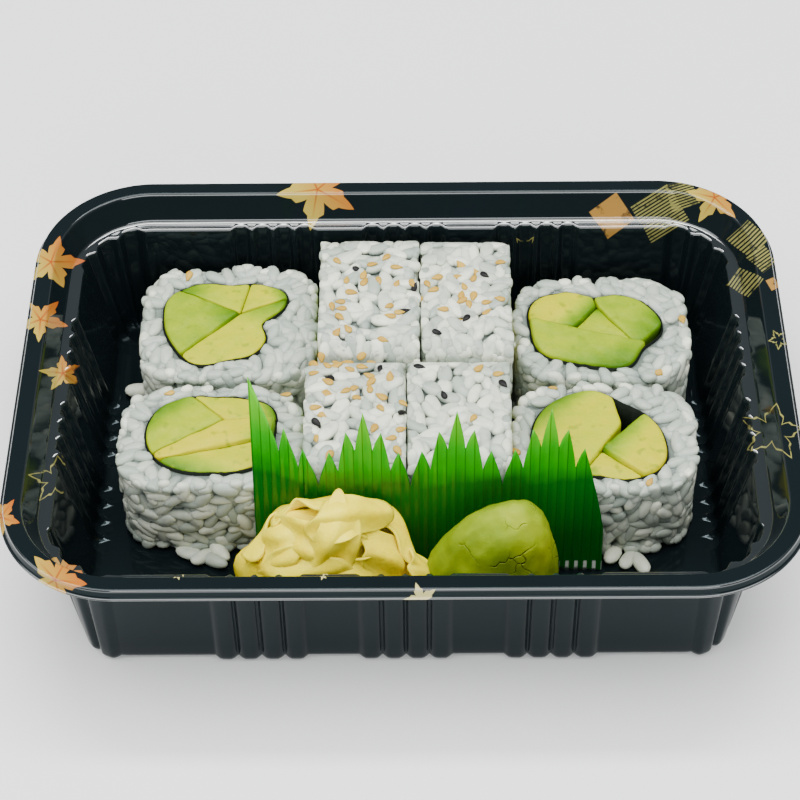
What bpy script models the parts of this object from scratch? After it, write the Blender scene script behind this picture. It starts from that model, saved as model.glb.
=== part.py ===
"""Takeaway sushi tray: a fluted black plastic tray with eight inside-out avocado
rolls, a green grass divider, a heap of pickled ginger and a lump of wasabi.
The frame has +X along the tray, +Z up and its origin under the middle of the base.
Sizes are in millimetres, and add_solid turns them into metres."""

import math
import random

import bpy
from mathutils import Matrix, Vector, noise

MM = 0.001
CLEAR = 0.3
SHARP_EDGE = 40.0

# Tray, a thermoformed sheet
TRAY_LENGTH = 185.0
TRAY_WIDTH = 134.0
TRAY_HEIGHT = 40.0
TRAY_CORNER = 28.0
SHEET = 0.6
LEDGE_DROP = 7.0
WALL_TOP_INSET = 11.0
SIDE_FOOT_INSET = 16.4
FRONT_FOOT_INSET = 11.4
FOOT_FULLNESS = 2.6
COVE = 2.0
FLUTE_DEPTH = 1.2
FLUTE_PITCH = 5.5
FLUTES_IN_GROUP = 4
LONG_SIDE_GROUPS = (-34.0, 0.0, 34.0)
SHORT_SIDE_GROUPS = (-14.0, 14.0)
CORNER_FLUTES = 3
CORNER_FLUTE_SHARE = 0.27
RIM_CORNER_STEPS = 7

# Rolls: each slice is cut 25 mm thick
SLICE = 25.0
FLOOR = SHEET + CLEAR
NORI = 0.4
NORI_SIDES = 20
AVOCADO_SIDES = 20
RICE_SIDES = 30
RICE_BUMP = 1.3
RICE_ROUNDING = 1.3
PRESSED_BUMP = 0.9
FACE_UP_FULLNESS = 3.4
ON_SIDE_FULLNESS = 7.0

# Grass divider
BARAN_SHEET = 0.35
BARAN_TIP_SHEET = 0.2
BARAN_FOOT_Y = -30.8
BARAN_RIB = 0.3
BARAN_RIB_PITCH = 2.17

# Sesame seeds
SEED_LENGTH = 3.1
SEED_WIDTH = 1.8
SEED_THICKNESS = 1.0


def make_material(name, colour, roughness, metallic=0.0):
    material = bpy.data.materials.new(name)
    material.use_nodes = True
    shader = material.node_tree.nodes["Principled BSDF"]
    shader.inputs["Base Color"].default_value = (*colour, 1.0)
    shader.inputs["Roughness"].default_value = roughness
    shader.inputs["Metallic"].default_value = metallic
    return material


def add_solid(name, points, faces, material):
    """An object from points in millimetres."""
    mesh = bpy.data.meshes.new(name)
    mesh.from_pydata([Vector(point) * MM for point in points], [], faces)
    mesh.shade_smooth()
    mesh.set_sharp_from_angle(angle=math.radians(SHARP_EDGE))
    solid = bpy.data.objects.new(name, mesh)
    bpy.context.scene.collection.objects.link(solid)
    mesh.materials.append(material)
    return solid


class Skin:
    """A closed surface made of rings of points, from the first ring to the last."""

    def __init__(self):
        self.points = []
        self.faces = []
        self.rings = []

    def ring(self, points, stations=None):
        """Adds a ring. Stations place its points round the loop where rings differ in count."""
        first = len(self.points)
        self.points.extend(points)
        count = len(points)
        stations = stations or [index / count for index in range(count)]
        self.rings.append((list(range(first, first + count)), stations))

    def band(self, below, above):
        lower, lower_stations = below
        upper, upper_stations = above
        if len(lower) == len(upper):
            for index, corner in enumerate(lower):
                after = (index + 1) % len(lower)
                self.faces.append((corner, lower[after], upper[after], upper[index]))
            return
        self.zip_rings(lower, lower_stations, upper, upper_stations)

    def zip_rings(self, lower, lower_stations, upper, upper_stations):
        """Triangles between two rings that have unlike counts of points."""
        turn = lower_stations[-1] + upper_stations[-1] + 1.0
        ends = [*lower_stations, turn], [*upper_stations, turn]
        low = 0
        high = 0
        while low < len(lower) or high < len(upper):
            corner = lower[low % len(lower)]
            other = upper[high % len(upper)]
            step_low = high >= len(upper)
            if low < len(lower) and high < len(upper):
                step_low = ends[0][low + 1] <= ends[1][high + 1]
            if step_low:
                low += 1
                self.faces.append((corner, lower[low % len(lower)], other))
            else:
                high += 1
                self.faces.append((corner, upper[high % len(upper)], other))

    def close(self, joined=False):
        """Joins all rings, and either the last one to the first or both ends with flat caps."""
        for below, above in zip(self.rings, self.rings[1:]):
            self.band(below, above)
        if joined:
            self.band(self.rings[-1], self.rings[0])
        else:
            self.faces.append(tuple(reversed(self.rings[0][0])))
            self.faces.append(tuple(self.rings[-1][0]))
        return self.points, self.faces


# Tray


def tray_outline(station, inset_x, inset_y, fullness=2.0):
    """A point of the rounded rectangle, moved in from the rim. Eight stations go once round.

    Corners are quarter ovals about fixed centres, squarer where fullness is over 2.
    """
    part = int(station)
    share = station - part
    half_x = TRAY_LENGTH / 2 - TRAY_CORNER
    half_y = TRAY_WIDTH / 2 - TRAY_CORNER
    centres = (
        Vector((half_x, half_y)),
        Vector((-half_x, half_y)),
        Vector((-half_x, -half_y)),
        Vector((half_x, -half_y)),
    )
    quarter = part // 2
    if part % 2:
        centre = centres[quarter]
        angle = (quarter + share) * math.pi / 2
    else:
        centre = centres[quarter - 1].lerp(centres[quarter], share)
        angle = quarter * math.pi / 2
    across = math.copysign(abs(math.cos(angle)) ** (2 / fullness), math.cos(angle))
    along = math.copysign(abs(math.sin(angle)) ** (2 / fullness), math.sin(angle))
    return centre.x + (TRAY_CORNER - inset_x) * across, centre.y + (TRAY_CORNER - inset_y) * along


def flutes_of(part):
    """Centre and width of each flute in one part of the outline, as shares of that part."""
    if part % 2:
        spread = (CORNER_FLUTES - 1) / 2
        return [
            (0.5 + (index - spread) * CORNER_FLUTE_SHARE, CORNER_FLUTE_SHARE)
            for index in range(CORNER_FLUTES)
        ]
    if part % 4:
        length = TRAY_LENGTH - 2 * TRAY_CORNER
        groups = LONG_SIDE_GROUPS
    else:
        length = TRAY_WIDTH - 2 * TRAY_CORNER
        groups = SHORT_SIDE_GROUPS
    spread = (FLUTES_IN_GROUP - 1) / 2
    return [
        (0.5 + (group + (index - spread) * FLUTE_PITCH) / length, FLUTE_PITCH / length)
        for group in groups
        for index in range(FLUTES_IN_GROUP)
    ]


def wall_stations():
    """Stations round the fluted wall with the swell at each, from 0 to 1."""
    swells = {}
    for part in range(8):
        swells[float(part)] = 0.0
        for centre, width in flutes_of(part):
            for offset, swell in ((-0.5, 0.0), (-0.24, 1.0), (0.24, 1.0), (0.5, 0.0)):
                swells[round(part + centre + offset * width, 5)] = swell
    return sorted(swells.items())


def rim_stations():
    corner_shares = [step / RIM_CORNER_STEPS for step in range(RIM_CORNER_STEPS)]
    stations = []
    for part in range(8):
        stations.extend(part + share for share in (corner_shares if part % 2 else (0.0,)))
    return stations


def cove_rows(radius, foot):
    """How far in and how high three rows lie round the curve between wall and floor."""
    rows = []
    for angle in (0.0, math.pi / 4, math.pi / 2):
        rows.append((radius * (1 - math.cos(angle)), foot + radius * (1 - math.sin(angle))))
    return rows


def make_tray():
    """The sheet's under face from the base out to the lip, then its upper face back to the floor."""
    top = TRAY_HEIGHT
    ledge = TRAY_HEIGHT - LEDGE_DROP
    rim = rim_stations()
    wall = wall_stations()
    skin = Skin()

    def rim_ring(inset, height):
        skin.ring([(*tray_outline(station, inset, inset), height) for station in rim], rim)

    def wall_ring(inset_x, inset_y, height, fullness=2.0, swelling=1.0):
        points = []
        for station, swell in wall:
            swollen = FLUTE_DEPTH * swell * swelling
            outline = tray_outline(station, inset_x - swollen, inset_y - swollen, fullness)
            points.append((*outline, height))
        skin.ring(points, [station for station, _ in wall])

    def foot_rings(rows, outwards):
        for (inset, height), swelling in rows:
            inset_x = SIDE_FOOT_INSET - outwards + inset
            inset_y = FRONT_FOOT_INSET - outwards + inset
            wall_ring(inset_x, inset_y, height, FOOT_FULLNESS, swelling)

    swellings = (1.0, 1.0, 0.7)
    foot_rings(reversed(list(zip(cove_rows(COVE + SHEET, 0.0), swellings))), SHEET)
    wall_ring(WALL_TOP_INSET - SHEET, WALL_TOP_INSET - SHEET, ledge - SHEET)
    for inset, height in (
        (7.5, ledge - SHEET),
        (4.1, top - SHEET),
        (1.0, top - SHEET),
        (0.45, top - 1.0),
        (-0.3, top - 2.4),
        (-0.9, top - 2.4),
        (-0.2, top - 0.8),
        (0.8, top),
        (4.4, top),
        (7.9, ledge),
    ):
        rim_ring(inset, height)
    wall_ring(WALL_TOP_INSET, WALL_TOP_INSET, ledge)
    foot_rings(zip(cove_rows(COVE, SHEET), swellings), 0.0)
    black = make_material("black_plastic", (0.010, 0.014, 0.017), 0.18)
    return add_solid("tray", *skin.close(), black)


# Rolls


def closed_radius(radii, angle):
    """A smooth closed outline's radius at an angle, through radii set at even steps."""
    count = len(radii)
    place = (angle / (2 * math.pi) * count) % count
    index = int(place)
    share = place - index
    before, here, after, later = (radii[(index + step) % count] for step in (-1, 0, 1, 2))
    slope_here = (after - before) / 2
    slope_after = (later - here) / 2
    square = share * share
    cube = square * share
    return (
        here * (2 * cube - 3 * square + 1)
        + slope_here * (cube - 2 * square + share)
        + after * (3 * square - 2 * cube)
        + slope_after * (cube - square)
    )


def block_radius(half_width, half_depth, angle, fullness):
    """The radius of a rounded block, the pressed shape of a roll."""
    across = abs(math.cos(angle) / half_width) ** fullness
    along = abs(math.sin(angle) / half_depth) ** fullness
    return (across + along) ** (-1 / fullness)


def around(count, radius_at):
    """Points of a closed outline as (x, y), by a function of the angle."""
    points = []
    for index in range(count):
        angle = 2 * math.pi * index / count
        radius = radius_at(angle)
        points.append((radius * math.cos(angle), radius * math.sin(angle)))
    return points


def make_rice(name, block, length, fill, offset, bump, seed, material):
    """A roll's rice as a tube along its local Z, with grain-sized bumps that only go inwards.

    block is the half width, half depth and fullness of its outline. fill is the filling's
    outline as radii about offset, which is its centre in the roll.
    """
    draw = random.Random(seed)
    skin = Skin()
    shift = Vector(offset)
    hole_clear = NORI + 2 * CLEAR + 0.15
    half_width, half_depth, fullness = block
    outline = around(RICE_SIDES, lambda a: block_radius(half_width, half_depth, a, fullness))
    outer = [Vector(point) for point in outline]
    hole = []
    for point in outer:
        ray = point - shift
        angle = math.atan2(ray.y, ray.x)
        reach = min(closed_radius(fill, angle) + hole_clear, ray.length - 1.6)
        hole.append(shift + ray.normalized() * reach)
    half = length / 2

    def hole_ring(height):
        skin.ring([(point.x, point.y, height) for point in hole])

    def face_ring(height, depth):
        points = []
        for inner, outer_point in zip(hole, outer):
            place = inner.lerp(outer_point, 0.55)
            points.append((place.x, place.y, height - math.copysign(draw.uniform(0, depth), height)))
        skin.ring(points)

    def side_ring(inset, height):
        points = []
        for point in outer:
            depth = inset + draw.uniform(0, bump)
            place = point - point.normalized() * depth
            points.append((place.x, place.y, height + draw.uniform(-0.8, 0.8)))
        skin.ring(points)

    hole_ring(-half)
    face_ring(-half, 0.3)
    side_ring(RICE_ROUNDING, -half + 0.9)
    for row in (-0.62, -0.21, 0.21, 0.62):
        side_ring(0.0, row * half)
    side_ring(RICE_ROUNDING, half - 0.9)
    face_ring(half, 0.8)
    hole_ring(half)
    return add_solid(name, *skin.close(joined=True), material)


def make_nori(name, length, fill, offset, material):
    """The sheet of seaweed between rice and filling, as a thin tube."""
    skin = Skin()
    half = length / 2 - 0.1
    inner = around(NORI_SIDES, lambda a: closed_radius(fill, a) + CLEAR)
    outer = around(NORI_SIDES, lambda a: closed_radius(fill, a) + CLEAR + NORI)
    for outline, height in ((inner, -half), (outer, -half), (outer, half), (inner, half)):
        skin.ring([(x + offset[0], y + offset[1], height) for x, y in outline])
    return add_solid(name, *skin.close(joined=True), material)


def cut_outline(outline, start, end):
    """Keeps the part of an outline to the left of the line from start to end, less half a gap."""
    line = Vector(end) - Vector(start)
    normal = Vector((-line.y, line.x)).normalized()
    level = normal.dot(Vector(start)) + CLEAR / 2 + 0.05
    kept = []
    for index, point in enumerate(outline):
        after = outline[(index + 1) % len(outline)]
        here = normal.dot(point) - level
        there = normal.dot(after) - level
        if here >= 0:
            kept.append(point)
        if here * there < 0:
            kept.append(point.lerp(after, here / (here - there)))
    return kept


def thinned(outline, shortest):
    """Drops points that lie closer than shortest to the last one kept."""
    kept = [outline[0]]
    for point in outline[1:]:
        if (point - kept[-1]).length > shortest and (point - kept[0]).length > shortest / 2:
            kept.append(point)
    return kept


def make_avocado(name, length, fill, offset, cuts, rise, material):
    """One avocado slice: the filling's outline cut by lines, run through the roll."""
    outline = [Vector(point) for point in around(AVOCADO_SIDES, lambda a: closed_radius(fill, a) - 0.1)]
    for start, end in cuts:
        outline = cut_outline(outline, start, end)
    outline = thinned(outline, 1.2)
    middle = sum(outline, Vector((0, 0))) / len(outline)
    skin = Skin()
    half = length / 2 - 0.1
    for shrink, height in ((0.0, -half), (0.0, half - 0.5 + rise), (0.5, half + rise)):
        points = []
        for point in outline:
            ray = point - middle
            place = middle + ray * max(0.2, 1 - shrink / ray.length) + Vector(offset)
            points.append((place.x, place.y, height))
        skin.ring(points)
    return add_solid(name, *skin.close(), material)


def stand_up(solid, centre_x, centre_y):
    """Places a slice with its cut face up."""
    solid.matrix_world = Matrix.Translation(
        Vector((centre_x, centre_y, FLOOR + SLICE / 2)) * MM
    )


def lay_down(solid, centre_x, centre_y, centre_z):
    """Places a slice on its side, with its length along X and its own Y axis up."""
    turn = Matrix(((0, 0, 1), (1, 0, 0), (0, 1, 0))).to_4x4()
    solid.matrix_world = Matrix.Translation(Vector((centre_x, centre_y, centre_z)) * MM) @ turn


# Filling outlines: radii in millimetres every 30 degrees about the filling's centre. Cuts keep
# what lies to the left of a line, given as two points from that centre.
FACE_UP_ROLLS = {
    "front_left": {
        "centre": (-47.2, -8.0),
        "block": (22.6, 16.8, FACE_UP_FULLNESS),
        "offset": (0.5, 0.3),
        "fill": (14.8, 16.4, 13.4, 12.0, 13.6, 15.7, 16.0, 15.0, 13.0, 11.8, 13.2, 15.4),
        "slices": {
            "left": (((2.9, 4.2), (-5.0, 11.9)), ((-11.2, -4.3), (2.9, 4.2))),
            "rear": (((-5.0, 11.9), (2.9, 4.2)), ((2.9, 4.2), (13.5, 4.3))),
            "middle": (
                ((2.9, 4.2), (-11.2, -4.3)),
                ((13.5, 4.3), (2.9, 4.2)),
                ((-12.5, -7.9), (13.7, -1.6)),
            ),
            "front": (((13.7, -1.6), (-12.5, -7.9)),),
        },
    },
    "rear_left": {
        "centre": (-44.5, 30.4),
        "block": (22.4, 19.8, 4.4),
        "offset": (0.1, -0.6),
        "fill": (8.2, 16.6, 15.4, 13.2, 15.8, 17.8, 16.4, 15.6, 16.0, 12.6, 12.4, 10.8),
        "slices": {
            "left": (((2.7, 3.2), (-13.5, 11.5)), ((-10.9, -10.0), (2.7, 3.2))),
            "rear": (((-13.5, 11.5), (2.7, 3.2)), ((2.7, 3.2), (4.7, 13.3))),
            "right": (((4.7, 13.3), (2.7, 3.2)), ((2.7, 3.2), (15.6, 8.4))),
            "front": (((2.7, 3.2), (-10.9, -10.0)), ((15.6, 8.4), (2.7, 3.2))),
        },
    },
    "rear_right": {
        "centre": (49.6, 27.6),
        "block": (22.2, 18.2, FACE_UP_FULLNESS),
        "offset": (-1.6, -0.5),
        "fill": (16.6, 15.6, 13.2, 10.6, 14.4, 17.8, 16.2, 16.2, 13.2, 12.9, 14.8, 13.2),
        "slices": {
            "left": (((0.8, 7.6), (-0.3, 12.0)), ((-5.1, 0.2), (0.8, 7.6)), ((-16.9, 3.1), (11.6, -5.0))),
            "right": (
                ((-0.3, 12.0), (0.8, 7.6)),
                ((0.8, 7.6), (8.0, -3.0)),
                ((-16.9, 3.1), (11.6, -5.0)),
                ((11.4, -4.8), (17.6, 1.8)),
            ),
            "middle": (((0.8, 7.6), (-5.1, 0.2)), ((8.0, -3.0), (0.8, 7.6)), ((-16.9, 3.1), (11.6, -5.0))),
            "front": (((11.6, -5.0), (-16.9, 3.1)),),
        },
    },
    "front_right": {
        "centre": (48.2, -8.8),
        "block": (22.3, 17.5, FACE_UP_FULLNESS),
        "offset": (-1.6, -0.6),
        "fill": (15.8, 13.9, 12.7, 14.6, 15.0, 15.6, 15.8, 15.6, 13.0, 12.0, 15.0, 17.4),
        "slices": {
            "left": (((0.7, -4.0), (6.2, 4.0)), ((6.2, 4.0), (4.2, 13.8))),
            "right": (((10.5, 6.5), (0.7, -3.6)), ((0.7, -4.2), (13.6, -15.6))),
            "front": (((13.6, -15.6), (0.7, -4.2)), ((6.2, 4.0), (0.7, -4.0))),
        },
    },
}

# Rolls that lie on their side: the cut faces along X, near and far sides along Y, height and seeds.
ON_SIDE_ROLLS = {
    "rear_mid_left": {"x": (-21.3, 3.6), "y": (10.6, 52.6), "high": 34.6, "seeds": 12},
    "rear_mid_right": {"x": (4.1, 26.6), "y": (10.8, 52.2), "high": 34.4, "seeds": 9},
    "front_mid_left": {"x": (-24.1, 0.2), "y": (-26.2, 10.0), "high": 34.2, "seeds": 13},
    "front_mid_right": {"x": (0.7, 25.4), "y": (-26.2, 10.2), "high": 34.0, "seeds": 2},
}
ON_SIDE_FILL = (13.2, 13.6, 12.6, 11.6, 12.6, 13.6, 13.2, 13.4, 12.4, 11.4, 12.4, 13.4)
ON_SIDE_CUTS = {"low": ((12, -1), (-12, 2)), "high": ((-12, 2), (12, -1))}


def scatter_seeds(rice, count, seed):
    """Sesame seeds half sunk into the top of a roll, joined to its rice in one union."""
    draw = random.Random(seed)
    held = bpy.data.collections.new(rice.name + "_seeds")
    corners = [rice.matrix_world @ Vector(corner) for corner in rice.bound_box]
    low = Vector(min(corner[axis] for corner in corners) for axis in range(3))
    high = Vector(max(corner[axis] for corner in corners) for axis in range(3))
    graph = bpy.context.evaluated_depsgraph_get()
    columns = max(1, round(math.sqrt(count * (high.x - low.x) / (high.y - low.y))))
    rows = math.ceil(count / columns)
    for index in range(count):
        column, row = index % columns, index // columns
        across = (column + draw.uniform(0.3, 0.7)) / columns
        along = (row + draw.uniform(0.3, 0.7)) / rows
        x = low.x + (high.x - low.x) * (0.1 + 0.8 * across)
        y = low.y + (high.y - low.y) * (0.12 + 0.76 * along)
        hit, place, normal, *_ = bpy.context.scene.ray_cast(
            graph, Vector((x, y, high.z + 0.05)), Vector((0, 0, -1))
        )
        if not hit or normal.z < 0.6:
            continue
        bpy.ops.mesh.primitive_ico_sphere_add(subdivisions=1, radius=0.5)
        kernel = bpy.context.object
        kernel.data.transform(Matrix.Diagonal((SEED_LENGTH * MM, SEED_WIDTH * MM, SEED_THICKNESS * MM, 1)))
        lean = Vector((0, 0, 1)).rotation_difference(normal).to_matrix().to_4x4()
        spin = Matrix.Rotation(draw.uniform(0, math.pi), 4, "Z")
        kernel.matrix_world = Matrix.Translation(place + normal * 0.12 * MM) @ lean @ spin
        for owner in list(kernel.users_collection):
            owner.objects.unlink(kernel)
        held.objects.link(kernel)
    bpy.context.scene.collection.children.link(held)
    union = rice.modifiers.new("seeds", "BOOLEAN")
    union.operation = "UNION"
    union.operand_type = "COLLECTION"
    union.collection = held
    union.solver = "MANIFOLD"
    bpy.context.view_layer.objects.active = rice
    bpy.ops.object.modifier_apply(modifier=union.name)
    for kernel in list(held.objects):
        bpy.data.objects.remove(kernel)
    bpy.data.collections.remove(held)


def make_rolls():
    rice = make_material("rice", (0.72, 0.74, 0.70), 0.45)
    nori = make_material("nori", (0.008, 0.014, 0.010), 0.5)
    avocado = make_material("avocado", (0.62, 0.66, 0.12), 0.4)
    seed = 1
    for name, roll in FACE_UP_ROLLS.items():
        seed += 1
        centre, fill, offset = roll["centre"], roll["fill"], roll["offset"]
        solids = [
            make_rice(name + "_rice", roll["block"], SLICE, fill, offset, RICE_BUMP, seed, rice),
            make_nori(name + "_nori", SLICE, fill, offset, nori),
        ]
        for index, (side, cuts) in enumerate(roll["slices"].items()):
            rise = (0.3, 0.0, 0.5, -0.2)[index]
            slice_name = name + "_avocado_" + side
            solids.append(make_avocado(slice_name, SLICE, fill, offset, cuts, rise, avocado))
        for solid in solids:
            stand_up(solid, *centre)
    for name, roll in ON_SIDE_ROLLS.items():
        seed += 1
        left, right = roll["x"]
        near, far = roll["y"]
        half_high = roll["high"] / 2
        block = ((far - near) / 2, half_high, ON_SIDE_FULLNESS)
        place = ((left + right) / 2, (near + far) / 2, FLOOR + half_high)
        length = right - left
        fill = ON_SIDE_FILL
        middle = (0, 0)
        body = make_rice(name + "_rice", block, length, fill, middle, PRESSED_BUMP, seed, rice)
        solids = [body, make_nori(name + "_nori", length, fill, middle, nori)]
        for level, cut in ON_SIDE_CUTS.items():
            slice_name = name + "_avocado_" + level
            solids.append(make_avocado(slice_name, length, fill, middle, (cut,), -0.2, avocado))
        for solid in solids:
            lay_down(solid, *place)
        bpy.context.view_layer.update()
        scatter_seeds(body, roll["seeds"], seed)


# Grass divider: one group of blades, as distances from its tallest tip and heights
BLADE_GROUP = ((0.0, 53.0), (2.05, 41.0), (4.1, 46.8), (6.1, 34.5), (8.1, 40.5), (10.8, 29.5))
GROUP_CENTRES = (-9.5, 12.1, 33.8)
LEFT_BLADES = ((-36.0, 56.0), (-29.5, 37.5), (-28.1, 44.8), (-25.0, 34.0), (-23.8, 40.3), (-20.3, 29.5))
RIGHT_EDGE = ((47.4, 13.0),)


def blade_line():
    """The saw-toothed top edge, from left to right, as (x, height)."""
    line = list(LEFT_BLADES)
    for centre in GROUP_CENTRES:
        line.extend((centre - distance, height) for distance, height in reversed(BLADE_GROUP[1:-1]))
        line.extend((centre + distance, height) for distance, height in BLADE_GROUP)
    line.pop()
    line.extend(RIGHT_EDGE)
    return line


def baran_lean(x):
    """How far the divider leans back for each millimetre of height: most at its free left end."""
    free_end = max(0.0, (-16.0 - x) / 19.0)
    return 0.10 + 0.14 * free_end**1.5 + 0.02 * max(0.0, x / 40.0)


def make_baran():
    """A thin fluted sheet with blades cut along its top, leaning back on the rolls."""
    tips = blade_line()
    stations = sorted({x for x, _ in tips} | {tips[0][0] + BARAN_RIB_PITCH / 2 * step for step in range(77)})
    columns = []
    for x in stations:
        if x > tips[-1][0] or (columns and x - columns[-1][0] < 0.25 and x not in dict(tips)):
            continue
        height = next(
            low[1] + (high[1] - low[1]) * (x - low[0]) / (high[0] - low[0])
            for low, high in zip(tips, tips[1:])
            if low[0] <= x <= high[0]
        )
        rib = BARAN_RIB * (2 * abs((x / BARAN_RIB_PITCH) % 1 - 0.5) - 0.5)
        columns.append((x, height, rib))
    points = []
    for x, height, rib in columns:
        for z, sheet in ((FLOOR, BARAN_SHEET), (height, BARAN_TIP_SHEET)):
            y = BARAN_FOOT_Y + baran_lean(x) * z + rib
            points.extend(((x, y - sheet / 2, z), (x, y + sheet / 2, z)))
    faces = [(0, 2, 3, 1)]
    for first in range(0, len(points) - 4, 4):
        foot_front, foot_back, top_front, top_back = range(first, first + 4)
        next_foot_front, next_foot_back, next_top_front, next_top_back = range(first + 4, first + 8)
        faces.append((foot_front, next_foot_front, next_top_front))
        faces.append((foot_front, next_top_front, top_front))
        faces.append((foot_back, next_top_back, next_foot_back))
        faces.append((foot_back, top_back, next_top_back))
        faces.append((foot_front, foot_back, next_foot_back, next_foot_front))
        faces.append((top_front, next_top_front, next_top_back, top_back))
    last = len(points) - 4
    faces.append((last, last + 1, last + 3, last + 2))
    green = make_material("baran_green", (0.02, 0.28, 0.01), 0.3)
    return add_solid("baran", points, faces, green)


# Ginger and wasabi: how many rings each has, and how many points go round one
GINGER_RINGS = (9, 34)
WASABI_RINGS = (7, 22)


def make_heap(name, centre, halves, counts, shape, material):
    """A lump on the floor of the tray: rings from its flat foot to its top, shaped by a function."""
    skin = Skin()
    rows, sides = counts
    for row in range(rows):
        lift = math.pi / 2 * row / rows
        points = []
        for index in range(sides):
            angle = 2 * math.pi * index / sides
            points.append(shape(centre, halves, angle, lift))
        skin.ring(points)
    points, faces = skin.close()
    top = len(points)
    points.append(shape(centre, halves, 0.0, math.pi / 2))
    last = faces.pop()
    for index, corner in enumerate(last):
        faces.append((corner, last[(index + 1) % len(last)], top))
    return add_solid(name, points, faces, material)


def ginger_point(centre, halves, angle, lift):
    """Soft folds that run over the heap, deeper low down, and a crest that leans on the divider."""
    direction = Vector((math.cos(angle) * math.cos(lift), math.sin(angle) * math.cos(lift), math.sin(lift)))
    fold = noise.noise(Vector((direction.x * 2.2 + 4.1, direction.y * 1.6, direction.z * 2.8 + 1.7)))
    ripple = abs(noise.noise(direction * 3.4 + Vector((7.3, 2.1, 0.4))))
    reach = 0.90 + 0.22 * fold - 0.16 * ripple
    x = centre[0] + halves[0] * direction.x * reach
    lean = 0.24 * max(0.0, direction.z)
    y = centre[1] + halves[1] * (direction.y * (0.92 + 0.10 * fold) + lean)
    z = FLOOR + halves[2] * direction.z**0.8 * reach
    return x, y, z


def wasabi_point(centre, halves, angle, lift):
    """An egg of paste, fuller and higher towards +X, pressed flat where it rests."""
    direction = Vector((math.cos(angle) * math.cos(lift), math.sin(angle) * math.cos(lift), math.sin(lift)))
    dent = noise.noise(direction * 1.7 + Vector((3.0, 0.5, 8.0)))
    tilt = 1 + 0.16 * direction.x
    x = centre[0] + halves[0] * (direction.x * (0.97 + 0.05 * dent) + 0.16 * direction.z)
    y = centre[1] + halves[1] * direction.y * (0.95 + 0.06 * dent)
    z = FLOOR + halves[2] * direction.z**0.72 * tilt * (1 + 0.04 * dent)
    return x, y, z


def front_inset(height):
    """How far the upper face of the front wall lies in from the rim at a height."""
    rise = height - SHEET
    if rise < COVE:
        return FRONT_FOOT_INSET + COVE - math.sqrt(max(0.0, COVE**2 - (COVE - rise) ** 2))
    share = (rise - COVE) / (TRAY_HEIGHT - LEDGE_DROP - SHEET - COVE)
    return FRONT_FOOT_INSET + (WALL_TOP_INSET - FRONT_FOOT_INSET) * share


def keep_clear(solid):
    """Moves points of a heap that would touch the divider behind it or the wall before it."""
    for vertex in solid.data.vertices:
        x, y, z = vertex.co / MM
        divider = BARAN_FOOT_Y + baran_lean(x) * z - BARAN_RIB - BARAN_SHEET - CLEAR
        wall = front_inset(z) - TRAY_WIDTH / 2 + 2.5 * CLEAR
        vertex.co.y = max(min(y, divider), wall) * MM


def make_garnish():
    ginger = make_material("ginger", (0.88, 0.74, 0.28), 0.35)
    wasabi = make_material("wasabi", (0.40, 0.48, 0.07), 0.55)
    heap = make_heap("ginger", (-18.1, -40.6), (26.0, 13.4, 36.3), GINGER_RINGS, ginger_point, ginger)
    keep_clear(heap)
    lump = make_heap("wasabi", (19.4, -41.6), (16.8, 11.4, 36.6), WASABI_RINGS, wasabi_point, wasabi)
    keep_clear(lump)


def main():
    for old in list(bpy.data.objects):
        bpy.data.objects.remove(old)
    make_tray()
    make_rolls()
    make_baran()
    make_garnish()


main()
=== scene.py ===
"""Looks of a takeaway sushi tray: black fluted tray with its print, eight rolls of rice, seaweed
and avocado, sesame seeds, a green grass divider, pickled ginger and wasabi. Sizes are in
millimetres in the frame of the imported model, and add_piece turns them into metres."""

import math
import random

import bmesh
import bpy
import numpy as np
from mathutils import Matrix, Vector, noise
from mathutils.bvhtree import BVHTree


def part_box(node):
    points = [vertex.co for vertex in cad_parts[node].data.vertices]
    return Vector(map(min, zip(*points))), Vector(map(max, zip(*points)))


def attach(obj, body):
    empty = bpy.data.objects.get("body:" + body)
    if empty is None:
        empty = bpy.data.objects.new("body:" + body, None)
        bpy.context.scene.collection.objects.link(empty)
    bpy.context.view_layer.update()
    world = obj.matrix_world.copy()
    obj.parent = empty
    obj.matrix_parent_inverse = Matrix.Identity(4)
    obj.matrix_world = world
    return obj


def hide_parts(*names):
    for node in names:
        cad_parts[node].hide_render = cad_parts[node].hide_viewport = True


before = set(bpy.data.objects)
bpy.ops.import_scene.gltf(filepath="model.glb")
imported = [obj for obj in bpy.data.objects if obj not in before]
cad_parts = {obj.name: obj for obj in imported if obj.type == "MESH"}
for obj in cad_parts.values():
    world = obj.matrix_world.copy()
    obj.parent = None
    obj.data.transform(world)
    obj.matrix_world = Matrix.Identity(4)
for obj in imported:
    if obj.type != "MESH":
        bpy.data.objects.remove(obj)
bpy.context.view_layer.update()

# Tray. Black polystyrene sheet, 0.6 mm thick, drawn warm over a mould: flutes stiffen its
# walls, a ledge runs round above them, and the rim turns down into a lip. Leaves, line drawings
# and squares are printed on the sheet before it is formed.

MM = 0.001
TRAY_HALF_X = 92.5
TRAY_HALF_Y = 67.0
TRAY_CORNER = 28.0
TRAY_HEIGHT = 40.0
TRAY_SHEET = 0.6
LEDGE = 33.0
WALL_TOP_INSET = 11.0
SIDE_FOOT_INSET = 16.4
FRONT_FOOT_INSET = 11.4
FOOT_FULLNESS = 2.6
COVE = 2.0
TOE_ROWS = 6
COVE_ROWS = 5
WALL_ROWS = 8
FLOOR_TOP = 0.85
TOE_DEPTH = 0.25
TOE_LENGTH = 6.0
FLUTE_DEPTH = 1.2
FLUTE_PITCH = 5.5
FLUTES_IN_GROUP = 4
LONG_SIDE_GROUPS = (-34.0, 0.0, 34.0)
SHORT_SIDE_GROUPS = (-14.0, 14.0)
CORNER_FLUTES = 3
CORNER_FLUTE_SHARE = 0.27
FLUTE_FLANK = 0.32
STATION_STEP = 0.58
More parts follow.
